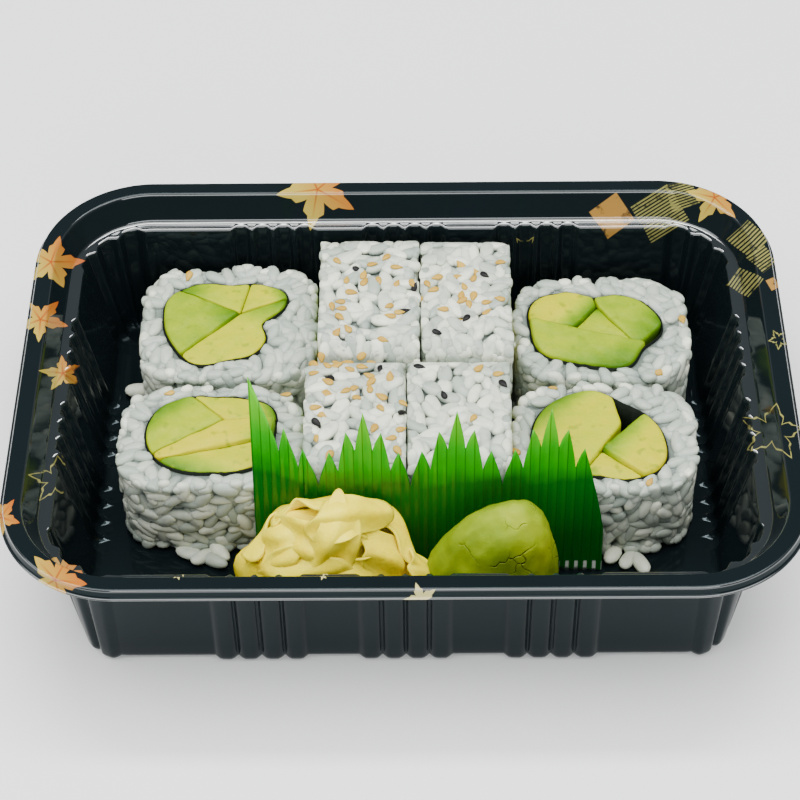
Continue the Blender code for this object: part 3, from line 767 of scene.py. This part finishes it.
# Each slice: its roll and name, the cuts that bound it on their left, from point to point, the
# side that is greener and where the green begins, the least green, and the face's rise and slope
SLICES = [
    ("front_left", "left", (((2.9, 4.2), (-5.0, 11.9)), ((-11.2, -4.3), (2.9, 4.2))),
     (-0.6, 0.6, 0.1), 0.34, 0.5, (0.02, 0.02)),
    ("front_left", "rear", (((-5.0, 11.9), (2.9, 4.2)), ((2.9, 4.2), (13.5, 4.3))),
     (1.0, 0.3, 0.4), 0.14, 0.1, (-0.01, 0.0)),
    ("front_left", "middle", (((2.9, 4.2), (-11.2, -4.3)), ((13.5, 4.3), (2.9, 4.2)),
      ((-12.5, -7.9), (13.7, -1.6))),
     (0.8, -0.3, 0.4), 0.0, 0.9, (0.03, 0.05)),
    ("front_left", "front", (((13.7, -1.6), (-12.5, -7.9)),),
     (-0.5, -1.0, 0.1), 0.15, 0.0, (0.0, 0.05)),
    ("rear_left", "left", (((2.7, 3.2), (-13.5, 11.5)), ((-10.9, -10.0), (2.7, 3.2))),
     (1.0, 0.2, 0.2), 0.48, 0.6, (0.0, 0.02)),
    ("rear_left", "rear", (((-13.5, 11.5), (2.7, 3.2)), ((2.7, 3.2), (4.7, 13.3))),
     (-1.0, 0.1, 0.0), 0.24, 0.2, (-0.02, 0.0)),
    ("rear_left", "right", (((4.7, 13.3), (2.7, 3.2)), ((2.7, 3.2), (15.6, 8.4))),
     (1.0, 0.4, 0.3), 0.16, 0.4, (0.03, -0.03)),
    ("rear_left", "front", (((2.7, 3.2), (-10.9, -10.0)), ((15.6, 8.4), (2.7, 3.2))),
     (0.3, 1.0, 0.2), 0.16, 0.1, (0.0, 0.04)),
    ("rear_right", "left", (((0.8, 7.6), (-0.3, 12.0)), ((-5.1, 0.2), (0.8, 7.6)),
      ((-16.9, 3.1), (11.6, -5.0))),
     (0.7, -0.6, 0.1), 0.1, 0.4, (0.02, 0.0)),
    ("rear_right", "right", (((-0.3, 12.0), (0.8, 7.6)), ((0.8, 7.6), (8.0, -3.0)),
      ((-16.9, 3.1), (11.6, -5.0)), ((11.4, -4.8), (17.6, 1.8))),
     (1.0, -0.5, 0.1), 0.46, 0.2, (0.0, 0.03)),
    ("rear_right", "middle", (((0.8, 7.6), (-5.1, 0.2)), ((8.0, -3.0), (0.8, 7.6)),
      ((-16.9, 3.1), (11.6, -5.0))),
     (0.2, 1.0, 0.3), 0.36, -0.2, (0.05, 0.0)),
    ("rear_right", "front", (((11.6, -5.0), (-16.9, 3.1)),),
     (0.3, -1.0, 0.0), 0.42, 0.8, (0.0, 0.05)),
    ("front_right", "left", (((0.7, -4.0), (6.2, 4.0)), ((6.2, 4.0), (4.2, 13.8))),
     (-0.6, 0.7, 0.35), 0.16, 0.5, (0.0, 0.02)),
    ("front_right", "right", (((10.5, 6.5), (0.7, -3.6)), ((0.7, -4.2), (13.6, -15.6))),
     (-0.9, 0.6, -0.1), 0.05, 0.8, (-0.03, 0.0)),
    ("front_right", "front", (((13.6, -15.6), (0.7, -4.2)), ((6.2, 4.0), (0.7, -4.0))),
     (-1.0, -0.6, 0.4), 0.1, -0.2, (0.0, 0.03)),
]
HIDDEN_SLICES = (
    ("low", (((12, -1), (-12, 2)),), (0.0, -1.0, 0.5), 0.1, -0.2, (0.0, 0.0)),
    ("high", (((-12, 2), (12, -1)),), (0.0, 1.0, 0.5), 0.1, -0.2, (0.0, 0.0)),
)
SLICES.extend((name, *values) for name in ON_SIDE_ROLLS for values in HIDDEN_SLICES)

avocado_material, shader, place = new_material("avocado_flesh", {"IOR": 1.22})
green = marked(place, "green")
mottle = cloud(place, 4.2, 3.0, 0.6)
skinward = (green + (mottle - 0.5) * 0.45).limited()
colour = skinward.ramp(
    (0.0, (0.52, 0.47, 0.0)), (0.2, (0.41, 0.45, 0.0)), (0.42, (0.27, 0.37, 0.0)),
    (0.7, (0.13, 0.25, 0.0)), (1.0, (0.045, 0.13, 0.0)),
)
spots = ((cloud(place, 2.6, 1.0) - 0.62) * 9).limited()
colour = (spots * 0.55).blend(colour, (0.16, 0.25, 0.0))
feed(shader.inputs["Base Color"], colour)
feed(shader.inputs["Roughness"], mottle * 0.25 + 0.3)
feed(shader.inputs["Normal"], relief(cloud(place, 2.2, 3.0, 0.6), 0.22))


def cut_outline(points, start, end):
    """Keeps the part of an outline to the left of the line from start to end."""
    start, end = np.array(start, float), np.array(end, float)
    normal = np.array((start[1] - end[1], end[0] - start[0]))
    normal /= np.hypot(*normal)
    levels = (points - start) @ normal - SEAWEED_GAP / 2
    kept = []
    for index, point in enumerate(points):
        here, there = levels[index], levels[(index + 1) % len(points)]
        if here >= 0:
            kept.append(point)
        if here * there < 0:
            kept.append(point + (points[(index + 1) % len(points)] - point) * here / (here - there))
    return np.array(kept)


def evenly(points, count):
    """The same closed outline with points at even steps, its corners softened a little."""
    closed = np.vstack((points, points[:1]))
    run = np.concatenate(((0,), np.cumsum(np.hypot(*np.diff(closed, axis=0).T))))
    marks = np.linspace(0, run[-1], count, endpoint=False)
    even = np.stack([np.interp(marks, run, closed[:, axis]) for axis in (0, 1)], axis=1)
    for _ in range(2):
        even = even * 0.5 + (np.roll(even, 1, axis=0) + np.roll(even, -1, axis=0)) * 0.25
    return even


def make_avocado(name, roll, cuts, green_side, least_green, rise, slope):
    """One slice through the roll, with rounded edges and its greener side marked on the mesh."""
    half = roll["length"] / 2 - 0.1
    points = outline(lambda turns: closed_radius(roll["fill"], turns) + SEAWEED_GAP, FILLING_SIDES)
    for start, end in cuts:
        points = cut_outline(points, start, end)
    edge = evenly(points, SLICE_SIDES)
    middle = edge.mean(axis=0)
    ray = edge - middle
    span = np.hypot(*ray.T)[:, None]
    rows = [(0.0, -half, 0), (0.0, half - 1.2, 0), (0.05, half - 0.6, 0.3), (0.22, half - 0.22, 0.8),
            (0.55, half - 0.05, 1.0), (1.1, half, 1.0)]
    rings = []
    for inset, level, tilt in rows:
        rings.append((middle + ray * np.maximum(0.3, 1 - inset / span), level, tilt))
    for share in (0.75, 0.55, 0.36, 0.18):
        rings.append((middle + (rings[5][0] - middle) * share, half + 0.25 * (1 - share), 1.0))
    solid = []
    for ring, level, tilt in rings:
        top = level + tilt * (rise + (ring - middle) @ np.array(slope))
        solid.append(np.column_stack((ring, np.broadcast_to(top, len(ring)))))
    points = np.concatenate(solid)
    for point in points[2 * len(edge):]:
        point[2] += 0.3 * noise.noise(Vector(point) * 0.3 + Vector((len(name), 0, 0)))
    faces = [tuple(reversed(range(len(edge)))), *ring_faces(len(rings), len(edge))]
    faces.append(tuple(range(len(points) - len(edge), len(points))))
    side_x, side_y, start = green_side
    toward = (points[:, :2] - middle) @ np.array((side_x, side_y)) / math.hypot(side_x, side_y)
    share = (toward / toward.max() - start) / (1 - start)
    skin = least_green + (1 - least_green) * np.clip(share, 0, 1) ** 1.3
    points[:, :2] += roll["offset"]
    return points, faces, skin


for roll_name, side, *values in SLICES:
    roll = rolls[roll_name]
    points, faces, skin = make_avocado(roll_name + side, roll, *values)
    node_name = roll_name + "_avocado_" + side
    piece = add_piece(node_name + "_flesh", roll["to_place"](points), faces, avocado_material,
                      [node_name])
    mark(piece, "green", skin)

# Sesame seeds. Toasted golden and black seeds sprinkled on the rice: flat drops 3 mm long that
# stick where they fall. They lie on the rice and take their height from it.

SEED_LENGTH = 3.1
SEED_WIDTH = 1.8
SEED_THICKNESS = 0.9
SEEDS_APART = 2.1
SEEDS_FROM_FILLING = 2.5
CLUSTERED_SHARE = 0.7
BLACK_SEEDS = {
    "rear_mid_left": ((-12.0, 39.2), (-0.1, 24.3), (2.6, 33.0)),
    "rear_mid_right": ((15.2, 21.4), (20.2, 36.5), (8.0, 17.0)),
    "front_mid_left": ((-18.3, 2.1), (-0.9, -9.7), (-6.0, 5.6), (-21.0, -12.0)),
    "front_mid_right": ((9.4, -3.7), (23.8, -0.4), (3.6, 6.0)),
}
GOLDEN_SEEDS = {
    "rear_mid_left": 26, "rear_mid_right": 19, "front_mid_left": 36, "front_mid_right": 3,
    "front_left": 3, "front_right": 3, "rear_left": 4, "rear_right": 3,
}
SEED_CLUSTERS = {
    "rear_mid_left": (-9.0, 33.0, 9.0), "rear_mid_right": (18.0, 32.0, 5.0),
    "front_mid_left": (-11.0, -1.0, 6.5),
}

golden_material, shader, place = new_material("toasted_sesame", {"Roughness": 0.4, "IOR": 1.3})
feed(shader.inputs["Base Color"], cloud(place, 2.2).blend((0.60, 0.39, 0.06), (0.38, 0.20, 0.015)))
feed(shader.inputs["Normal"], relief(cloud(place, 0.4, 2.0), 0.06))
dark_material, shader, place = new_material("black_sesame", {"Roughness": 0.4, "IOR": 1.25})
feed(shader.inputs["Base Color"], cloud(place, 1.2).blend((0.004, 0.004, 0.004), (0.014, 0.014, 0.015)))
feed(shader.inputs["Normal"], relief(cloud(place, 0.4, 2.0), 0.08))


def seed_shape():
    """One seed: a flat drop, pointed at one end."""
    ball = bmesh.new()
    bmesh.ops.create_icosphere(ball, subdivisions=3, radius=1.0)
    points = np.array([vertex.co[:] for vertex in ball.verts])
    faces = np.array([[vertex.index for vertex in face.verts] for face in ball.faces])
    ball.free()
    narrow = 0.72 - 0.34 * points[:, 0] - 0.18 * points[:, 0] ** 2
    points[:, 1] *= narrow / 0.78
    points[:, 2] *= 0.6 + 0.4 * narrow
    return points * (SEED_LENGTH / 2, SEED_WIDTH / 2, SEED_THICKNESS / 2), faces


def lay_seeds(tree, spots, draw):
    """Puts a seed on the rice under each spot, given as (x, y) in millimetres."""
    shape, shape_faces = seed_shape()
    points = []
    faces = []
    for x, y in spots:
        hit, normal, *_ = tree.ray_cast(Vector((x, y, 60)) * MM, Vector((0, 0, -1)))
        if hit is None or normal.z < 0.5:
            continue
        lean = Vector((0, 0, 1)).rotation_difference(normal.lerp(Vector((0, 0, 1)), 0.4)).to_matrix()
        turn = np.array(lean @ Matrix.Rotation(draw.uniform(0, math.tau), 3, "Z"))
        spot = np.array(hit) / MM + np.array(normal) * 0.2
        points.append((shape * draw.uniform(0.85, 1.1)) @ turn.T + spot)
        faces.append(shape_faces + (len(points) - 1) * len(shape))
    return points, faces


def sprinkle(name, spots_by_roll, material, seed):
    """All seeds of one kind as one piece."""
    draw = random.Random(seed)
    all_points = []
    all_faces = []
    for roll_name, spots in spots_by_roll.items():
        tree = BVHTree.FromObject(rice_pieces[roll_name], bpy.context.evaluated_depsgraph_get())
        points, faces = lay_seeds(tree, spots, draw)
        shift = sum(len(group) for group in all_points)
        all_points.extend(points)
        all_faces.extend(tuple(face) for group in faces for face in (group + shift).tolist())
    return add_piece(name, np.concatenate(all_points), all_faces, material, [])


def scattered_spots(roll_name, count, draw):
    """Random spots over a roll's top, or on the rice rim of a roll with its cut face up."""
    (left, near, _), (right, far, _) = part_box(roll_name + "_rice")
    spots = []
    while len(spots) < count:
        x = draw.uniform(left, right) / MM
        y = draw.uniform(near, far) / MM
        if roll_name in SEED_CLUSTERS and draw.random() < CLUSTERED_SHARE:
            middle_x, middle_y, spread = SEED_CLUSTERS[roll_name]
            x = draw.gauss(middle_x, spread)
            y = draw.gauss(middle_y, spread)
            if not (left / MM < x < right / MM and near / MM < y < far / MM):
                continue
        if roll_name in FACE_UP_ROLLS:
            roll = FACE_UP_ROLLS[roll_name]
            dx = x - roll["centre"][0] - roll["offset"][0]
            dy = y - roll["centre"][1] - roll["offset"][1]
            filling = closed_radius(roll["fill"], math.atan2(dy, dx))
            if math.hypot(dx, dy) < filling + SEEDS_FROM_FILLING:
                continue
        if all(math.hypot(x - other[0], y - other[1]) > SEEDS_APART for other in spots):
            spots.append((x, y))
    return spots


scatter = random.Random(11)
golden_spots = {name: scattered_spots(name, count, scatter) for name, count in GOLDEN_SEEDS.items()}
sprinkle("golden_sesame", golden_spots, golden_material, 21)
sprinkle("black_sesame", BLACK_SEEDS, dark_material, 22)

# Grass divider. A strip of green plastic film, pressed with fine ribs and cut into blades
# along its top. It stands in front of the rolls and leans back on them.

BARAN_FOOT_Y = -30.8
BARAN_RIB = 0.3
BARAN_RIB_PITCH = 2.17
BARAN_SHEET = 0.25
BLADE_GROUP = ((0.0, 53.0), (2.05, 41.0), (4.1, 46.8), (6.1, 34.5), (8.1, 40.5), (10.8, 29.5))
GROUP_CENTRES = (-9.5, 12.1, 33.8)
LEFT_BLADES = ((-36.0, 55.9), (-29.5, 37.5), (-28.1, 44.8), (-25.0, 34.0), (-23.8, 40.3), (-20.3, 29.5))
RIGHT_EDGE = (47.4, 13.0)
BARAN_ROWS = 26
DIVIDER_GAP = 0.5

baran_material, shader, place = new_material("green_film", {"IOR": 1.4})
x = place.node("SeparateXYZ", None, {0: place}, 0)
z = x.beside(2)
rib_line = abs((x / BARAN_RIB_PITCH).math("FRACT") - 0.5)
painted_rib_shade = ((0.09 - rib_line) * 18).limited()
# Bright green towards the top and nearly black towards the foot: painted light shining through the film
# from behind, and painted shade low down.
painted_light_by_height = (z - 30 + (cloud(place, 9.0) - 0.5) * 8) / 20
colour = painted_light_by_height.limited().ramp(
    (0.0, (0.0, 0.11, 0.006)), (0.25, (0.001, 0.30, 0.003)), (0.55, (0.015, 0.44, 0.004)),
    (1.0, (0.13, 0.62, 0.01)),
)
# Darker along each rib line: painted shade in the creases of the pressed ribs.
colour = (painted_rib_shade * 0.6).blend(colour, (0.0, 0.06, 0.002))
# Pale lines on the ribs low down at the film's right end: a painted glint.
painted_foot_glint = ((4.4 - z) * 2).limited() * (x - 37.0).limited() * ((rib_line - 0.26) * 10).limited()
colour = painted_foot_glint.blend(colour, (0.70, 0.76, 0.68))
feed(shader.inputs["Base Color"], colour)
feed(shader.inputs["Roughness"], cloud(place, 3.0, 3.0) * 0.15 + 0.15)


def blade_line():
    """The saw-toothed top edge, from left to right, as (x, height): tips and valleys in turn."""
    line = list(LEFT_BLADES)
    for centre in GROUP_CENTRES:
        line.extend((centre - distance, height) for distance, height in reversed(BLADE_GROUP[1:-1]))
        line.extend((centre + distance, height) for distance, height in BLADE_GROUP)
    return [*line[:-1], RIGHT_EDGE]


def blade_height(line, x):
    """The top edge's height at x, with the blades' sides a little rounded outwards."""
    for low, high in zip(line, line[1:]):
        if low[0] <= x <= high[0]:
            valley, tip = sorted((low, high), key=lambda point: point[1])
            share = abs(x - valley[0]) / abs(tip[0] - valley[0])
            return valley[1] + (tip[1] - valley[1]) * share**0.8
    return RIGHT_EDGE[1]


def baran_lean(x):
    """How steeply the film leans back at x, more so at its free left end."""
    free_end = max(0.0, (-16.0 - x) / 19.0)
    return 0.10 + 0.14 * free_end**1.5 + 0.02 * max(0.0, x / 40.0)


def divider_front(x, z):
    """How far back a thing in front of the divider reaches at this place and height."""
    return BARAN_FOOT_Y + baran_lean(x) * z - BARAN_RIB - DIVIDER_GAP


edge_line = blade_line()
stations = {x for x, _ in edge_line}
fine_step = BARAN_RIB_PITCH / 8
fine_steps = int((RIGHT_EDGE[0] - edge_line[0][0]) / fine_step)
stations |= {edge_line[0][0] + step * fine_step for step in range(fine_steps)}
points = []
for x in sorted(stations):
    height = blade_height(edge_line, x)
    fold = BARAN_RIB * (2 * abs((x / BARAN_RIB_PITCH) % 1 - 0.5) - 0.5)
    for row in range(BARAN_ROWS):
        z = FLOOR + (height - FLOOR) * row / (BARAN_ROWS - 1)
        sway = 0.5 * noise.noise(Vector((x * 0.09, z * 0.06, 3.0)))
        points.append((x, BARAN_FOOT_Y + baran_lean(x) * z + fold + sway * min(1.0, z / 30), z))
faces = []
for column in range(len(stations) - 1):
    for row in range(BARAN_ROWS - 1):
        corner = column * BARAN_ROWS + row
        faces.append((corner, corner + BARAN_ROWS, corner + BARAN_ROWS + 1, corner + 1))
baran = add_piece("baran_film", points, faces, baran_material, ["baran"])
thicken(baran, BARAN_SHEET, 0.0)

# Pickled ginger. Paper-thin slices of young ginger in sweet vinegar, pale yellow, wet and half
# clear, folded over each other into a heap in front of the divider.

GINGER_CENTRE = (-18.1, -40.6)
GINGER_HALVES = (26.0, 13.4, 36.3)
GINGER_LEAN = 0.24
HEAP_ROWS = 24
HEAP_SIDES = 64
WALL_GAP = 0.8

ginger_material, shader, place = new_material("pickled_ginger", {
    "IOR": 1.28, "Subsurface Weight": 0.1, "Subsurface Scale": 0.002,
    "Subsurface Radius": (1.0, 0.8, 0.3),
})
colour = cloud(place, 5.5, 3.0, 0.6).ramp(
    (0.3, (0.95, 0.80, 0.03)), (0.55, (0.94, 0.75, 0.0)), (0.75, (0.84, 0.58, 0.0)),
)
edge = marked(place, "edge")
colour = (edge * 0.4).blend(colour, (0.95, 0.82, 0.06))
feed(shader.inputs["Base Color"], colour)
feed(shader.inputs["Roughness"], cloud(place, 3.0) * 0.2 + 0.18)
feed(shader.inputs["Normal"], relief(cloud(place, 3.4, 3.0) + cloud(place, 1.3, 4.0, 0.7) * 0.5, 0.3))


def direction(angle, lift):
    """The direction at an angle round a lump and at a lift above the floor."""
    return Vector((math.cos(angle) * math.cos(lift), math.sin(angle) * math.cos(lift), math.sin(lift)))


def dome(point_at, lifts, sides):
    """A lump from rings of points, one for each lift from the floor up, closed at the top."""
    points = [point_at(math.tau * column / sides, lift) for lift in lifts for column in range(sides)]
    return points, [*ring_faces(len(lifts), sides), tuple(range(len(points) - sides, len(points)))]


def between_walls(x, y, z):
    """Keeps Y between the tray's front wall and the divider, where ginger and wasabi lie."""
    inset = FRONT_FOOT_INSET + max(0.0, COVE - (z - TRAY_SHEET))
    return max(min(y, divider_front(x, z)), inset - TRAY_HALF_Y + WALL_GAP)


def ginger_skin(angle, lift, out):
    """A point of the heap's rounded form, moved out from it by some millimetres."""
    way = direction(angle, lift)
    fold = noise.noise(Vector((way.x * 2.2 + 4.1, way.y * 1.6, way.z * 2.8 + 1.7)))
    reach = 0.86 + 0.14 * fold
    x = GINGER_CENTRE[0] + GINGER_HALVES[0] * way.x * reach + way.x * out
    lean = GINGER_LEAN * max(0.0, way.z)
    y = GINGER_CENTRE[1] + GINGER_HALVES[1] * (way.y * 0.88 + lean) + way.y * out
    z = FLOOR + GINGER_HALVES[2] * max(0.0, way.z) ** 0.8 * reach + way.z * out
    return x, between_walls(x, y, z), max(z, FLOOR)


GINGER_SLICES = (
    # middle round the heap and up it, heading, half length, half width, bend, layer
    (-2.5, 0.25, 0.9, 12.0, 7.0, 9.0, 0.2),
    (-0.5, 0.22, -0.7, 11.0, 6.5, 9.0, 0.2),
    (-1.5, 0.20, 0.1, 13.0, 6.0, 14.0, 0.2),
    (-1.9, 0.55, 0.5, 13.0, 7.0, 12.0, 1.4),
    (-1.0, 0.60, -0.5, 12.5, 6.5, 11.0, 1.8),
    (-2.7, 0.75, 1.0, 11.0, 6.0, 8.0, 1.6),
    (-1.5, 0.85, 1.2, 12.0, 5.5, 9.0, 2.6),
    (-0.5, 0.70, -1.0, 10.0, 5.5, 8.0, 2.2),
    (-2.0, 1.10, 0.3, 12.0, 5.0, 8.0, 3.2),
    (-0.9, 1.20, -0.3, 11.0, 5.0, 8.0, 3.2),
    (1.6, 0.90, 0.2, 13.0, 7.0, 9.0, 1.0),
    (2.6, 0.60, -0.5, 9.0, 6.0, 8.0, 0.8),
    (0.4, 0.60, 0.6, 9.0, 6.0, 8.0, 0.8),
    (-0.3, 0.40, -1.3, 6.0, 3.4, 5.0, 2.8),
    (-0.6, 0.32, -0.9, 5.0, 2.8, 5.0, 3.2),
    (-0.1, 0.25, -1.5, 5.0, 3.0, 4.0, 1.4),
)
GINGER_SHEET = 0.6
RADIAL_STEPS = 16
ROUND_STEPS = 64


def heap_core(point):
    """How far out a point lies from the heap's middle, where 1 is its rounded form."""
    lean = GINGER_LEAN * GINGER_HALVES[1] * (point[2] - FLOOR) / GINGER_HALVES[2]
    return math.hypot((point[0] - GINGER_CENTRE[0]) / GINGER_HALVES[0],
                      (point[1] - GINGER_CENTRE[1] - lean) / GINGER_HALVES[1],
                      (point[2] - FLOOR) / GINGER_HALVES[2])


def ginger_slice(angle, lift, heading, half_long, half_wide, bend, layer, index):
    """A thin oval slice, bent over the heap and folded, with a wavy edge."""
    middle = Vector(ginger_skin(angle, lift, layer))
    out = Vector(np.array(direction(angle, lift)) / GINGER_HALVES).normalized()
    level = Vector((-math.sin(angle), math.cos(angle), 0.0))
    rising = out.cross(level)
    long_axis = level * math.cos(heading) + rising * math.sin(heading)
    wide_axis = rising * math.cos(heading) - level * math.sin(heading)
    points = []
    edges = []
    for ring in range(RADIAL_STEPS + 1):
        share = ring / RADIAL_STEPS
        for step in range(ROUND_STEPS):
            turn = math.tau * step / ROUND_STEPS
            wobble = 1 + 0.12 * math.sin(3 * turn + index) + 0.06 * math.sin(5 * turn + 2 * index)
            u = share * math.cos(turn) * half_long * wobble
            v = share * math.sin(turn) * half_wide * wobble
            fold = 0.9 * math.sin(v * 0.85 + u * 0.12 + index * 2.1)
            fold += 0.6 * math.sin(u * 0.42 + index)
            ruffle = 1.0 * share**3 * math.sin(4 * turn + index * 1.7)
            drop = (u * u) / (2 * bend * 1.6) + (v * v) / (2 * bend)
            point = middle + long_axis * u + wide_axis * v + out * (fold + ruffle - drop)
            core = heap_core(point)
            least = 0.84 + 0.012 * layer
            if core < least:
                point += out * (least - core) * 14
            points.append((point.x, between_walls(*point), max(point.z, FLOOR)))
            edges.append(share**3)
    return points, ring_faces(RADIAL_STEPS + 1, ROUND_STEPS), edges


lifts = [min(math.pi / 2 * row / HEAP_ROWS, 1.55) for row in range(HEAP_ROWS + 1)]
points, faces = dome(lambda angle, lift: ginger_skin(angle, lift, -1.2), lifts, HEAP_SIDES)
add_piece("ginger_core", points, faces, ginger_material, ["ginger"])
points = []
faces = []
edges = []
for index, values in enumerate(GINGER_SLICES):
    slice_points, slice_faces, slice_edges = ginger_slice(*values, index)
    faces.extend(tuple(corner + len(points) for corner in face) for face in slice_faces)
    points.extend(slice_points)
    edges.extend(slice_edges)
petals = add_piece("ginger_slices", points, faces, ginger_material, [])
mark(petals, "edge", edges)
merge_close(petals, 0.002)
thicken(petals, GINGER_SHEET, 0.0)
petals.data.shade_smooth()

# Wasabi. A lump of stiff green paste, rolled into an egg by hand and set down in front of the
# divider, dull and finely cracked where it has dried.

WASABI_CENTRE = (19.4, -41.6)
WASABI_HALVES = (16.8, 11.4, 36.6)
WASABI_ROWS = 39
WASABI_SIDES = 96

wasabi_material, shader, place = new_material("wasabi_paste", {"Roughness": 0.55, "IOR": 1.3})
warp = place.node("VectorMath", {"operation": "ADD"}, {
    0: place, 1: place.node("VectorMath", {"operation": "SCALE"}, {
        0: cloud(place, 6.0).beside("Color"), "Scale": 7.0}),
})
cracks = place.node("TexVoronoi", {"feature": "DISTANCE_TO_EDGE"}, {"Vector": warp, "Scale": 0.11})
crack = (1 - cracks * 40).limited() * ((cloud(place, 8.0) - 0.46) * 6).limited()
grain = cloud(place, 1.5, 5.0, 0.7)
colour = cloud(place, 11.0, 3.0).ramp(
    (0.32, (0.14, 0.22, 0.0)), (0.52, (0.22, 0.31, 0.0)), (0.72, (0.30, 0.37, 0.006)),
)
# Darker along the cracks: painted shade in them.
colour = (crack * 0.35).blend(colour, (0.14, 0.17, 0.0))
feed(shader.inputs["Base Color"], colour)
feed(shader.inputs["Normal"], relief(grain * 0.35 - crack, 0.35))


def wasabi_point(angle, lift):
    """A point of the egg-shaped lump, higher on its right, with soft dents and finer kneading."""
    way = direction(angle, lift)
    dent = noise.noise(way * 1.7 + Vector((3.0, 0.5, 8.0)))
    knead = 0.35 * noise.noise(way * 7.0)
    x = WASABI_CENTRE[0] + WASABI_HALVES[0] * (way.x * (0.97 + 0.05 * dent) + 0.16 * way.z)
    y = WASABI_CENTRE[1] + WASABI_HALVES[1] * way.y * (0.95 + 0.06 * dent)
    tilt = 1 + 0.16 * way.x
    z = FLOOR + WASABI_HALVES[2] * max(0.0, way.z) ** 0.72 * tilt * (1 + 0.04 * dent)
    return x + knead * way.x, between_walls(x, y + knead * way.y, z), z + knead * way.z


lifts = [math.pi / 2 * (row / (WASABI_ROWS + 0.3)) ** 1.3 for row in range(WASABI_ROWS + 1)]
points, faces = dome(wasabi_point, lifts, WASABI_SIDES)
faces.append(tuple(reversed(range(WASABI_SIDES))))
add_piece("wasabi_lump", points, faces, wasabi_material, ["wasabi"])

# Floor, light and camera. A pale matt table top under a large soft light, with a narrow one
# behind it and weak ones at the front and left, seen from the front at about 48 degrees.

floor_material, shader, place = new_material("pale_table", {"Roughness": 0.6})
feed(shader.inputs["Base Color"], cloud(place, 90.0).blend((0.88, 0.89, 0.89), (0.91, 0.92, 0.92)))
floor_mesh = bpy.data.meshes.new("table_top")
reach = 3.0
floor_mesh.from_pydata([(-reach, -reach, 0), (reach, -reach, 0), (reach, reach, 0), (-reach, reach, 0)],
                       [], [(0, 1, 2, 3)])
floor_mesh.materials.append(floor_material)
add_object("table_top", floor_mesh)

world = bpy.data.worlds.new("studio")
world.use_nodes = True
bpy.context.scene.world = world
sky = world.node_tree.nodes["Background"]
sky.inputs["Color"].default_value = (0.90, 0.96, 1.0, 1.0)
sky.inputs["Strength"].default_value = 0.30


def add_light(name, place, target, size, power, colour):
    """A rectangular lamp that faces the target; places and sizes are in metres."""
    lamp = bpy.data.lights.new(name, "AREA")
    lamp.shape = "RECTANGLE"
    lamp.size, lamp.size_y = size
    lamp.energy = power
    lamp.color = colour
    aim = Vector(place) - Vector(target)
    facing = aim.to_track_quat("Z", "Y").to_matrix().to_4x4()
    add_object(name, lamp).matrix_world = Matrix.Translation(Vector(place)) @ facing


add_light("overhead", (-0.08, -0.05, 0.90), (-0.08, 0, 0), (1.5, 0.9), 19.0, (1.0, 0.99, 0.97))
add_light("strip", (0.0, 0.36, 1.0), (0, 0, 0), (0.9, 0.12), 8.0, (1.0, 1.0, 1.0))
add_light("front_fill", (0.15, -1.2, 0.65), (0, 0, 0.02), (0.9, 0.5), 11.5, (1.0, 1.0, 1.0))
add_light("left_fill", (-1.0, -0.3, 0.6), (0, 0, 0.02), (0.5, 0.5), 3.0, (0.95, 0.98, 1.0))

VIEW_ELEVATION = math.radians(47.79)
VIEW_ROLL = math.radians(-0.82)
VIEW_YAW = math.radians(-0.62)
VIEW_TARGET = Vector((-1.085, -9.914, 40.0)) * MM
VIEW_DISTANCE = 0.5538
FOCAL_PIXELS = 2338
PHOTO_PIXELS = 800
SENSOR = 36.0
forward = Vector((math.sin(VIEW_YAW) * math.cos(VIEW_ELEVATION),
                  math.cos(VIEW_YAW) * math.cos(VIEW_ELEVATION), -math.sin(VIEW_ELEVATION)))
right = Vector((math.cos(VIEW_YAW), -math.sin(VIEW_YAW), 0))
upward = right.cross(forward)
rolled_right = right * math.cos(VIEW_ROLL) + upward * math.sin(VIEW_ROLL)
rolled_up = upward * math.cos(VIEW_ROLL) - right * math.sin(VIEW_ROLL)
lens = bpy.data.cameras.new("camera")
lens.sensor_width = SENSOR
lens.lens = FOCAL_PIXELS / PHOTO_PIXELS * SENSOR
camera = add_object("camera", lens)
axes = Matrix((rolled_right, rolled_up, -forward)).transposed().to_4x4()
camera.matrix_world = Matrix.Translation(VIEW_TARGET - forward * VIEW_DISTANCE) @ axes
bpy.context.scene.camera = camera
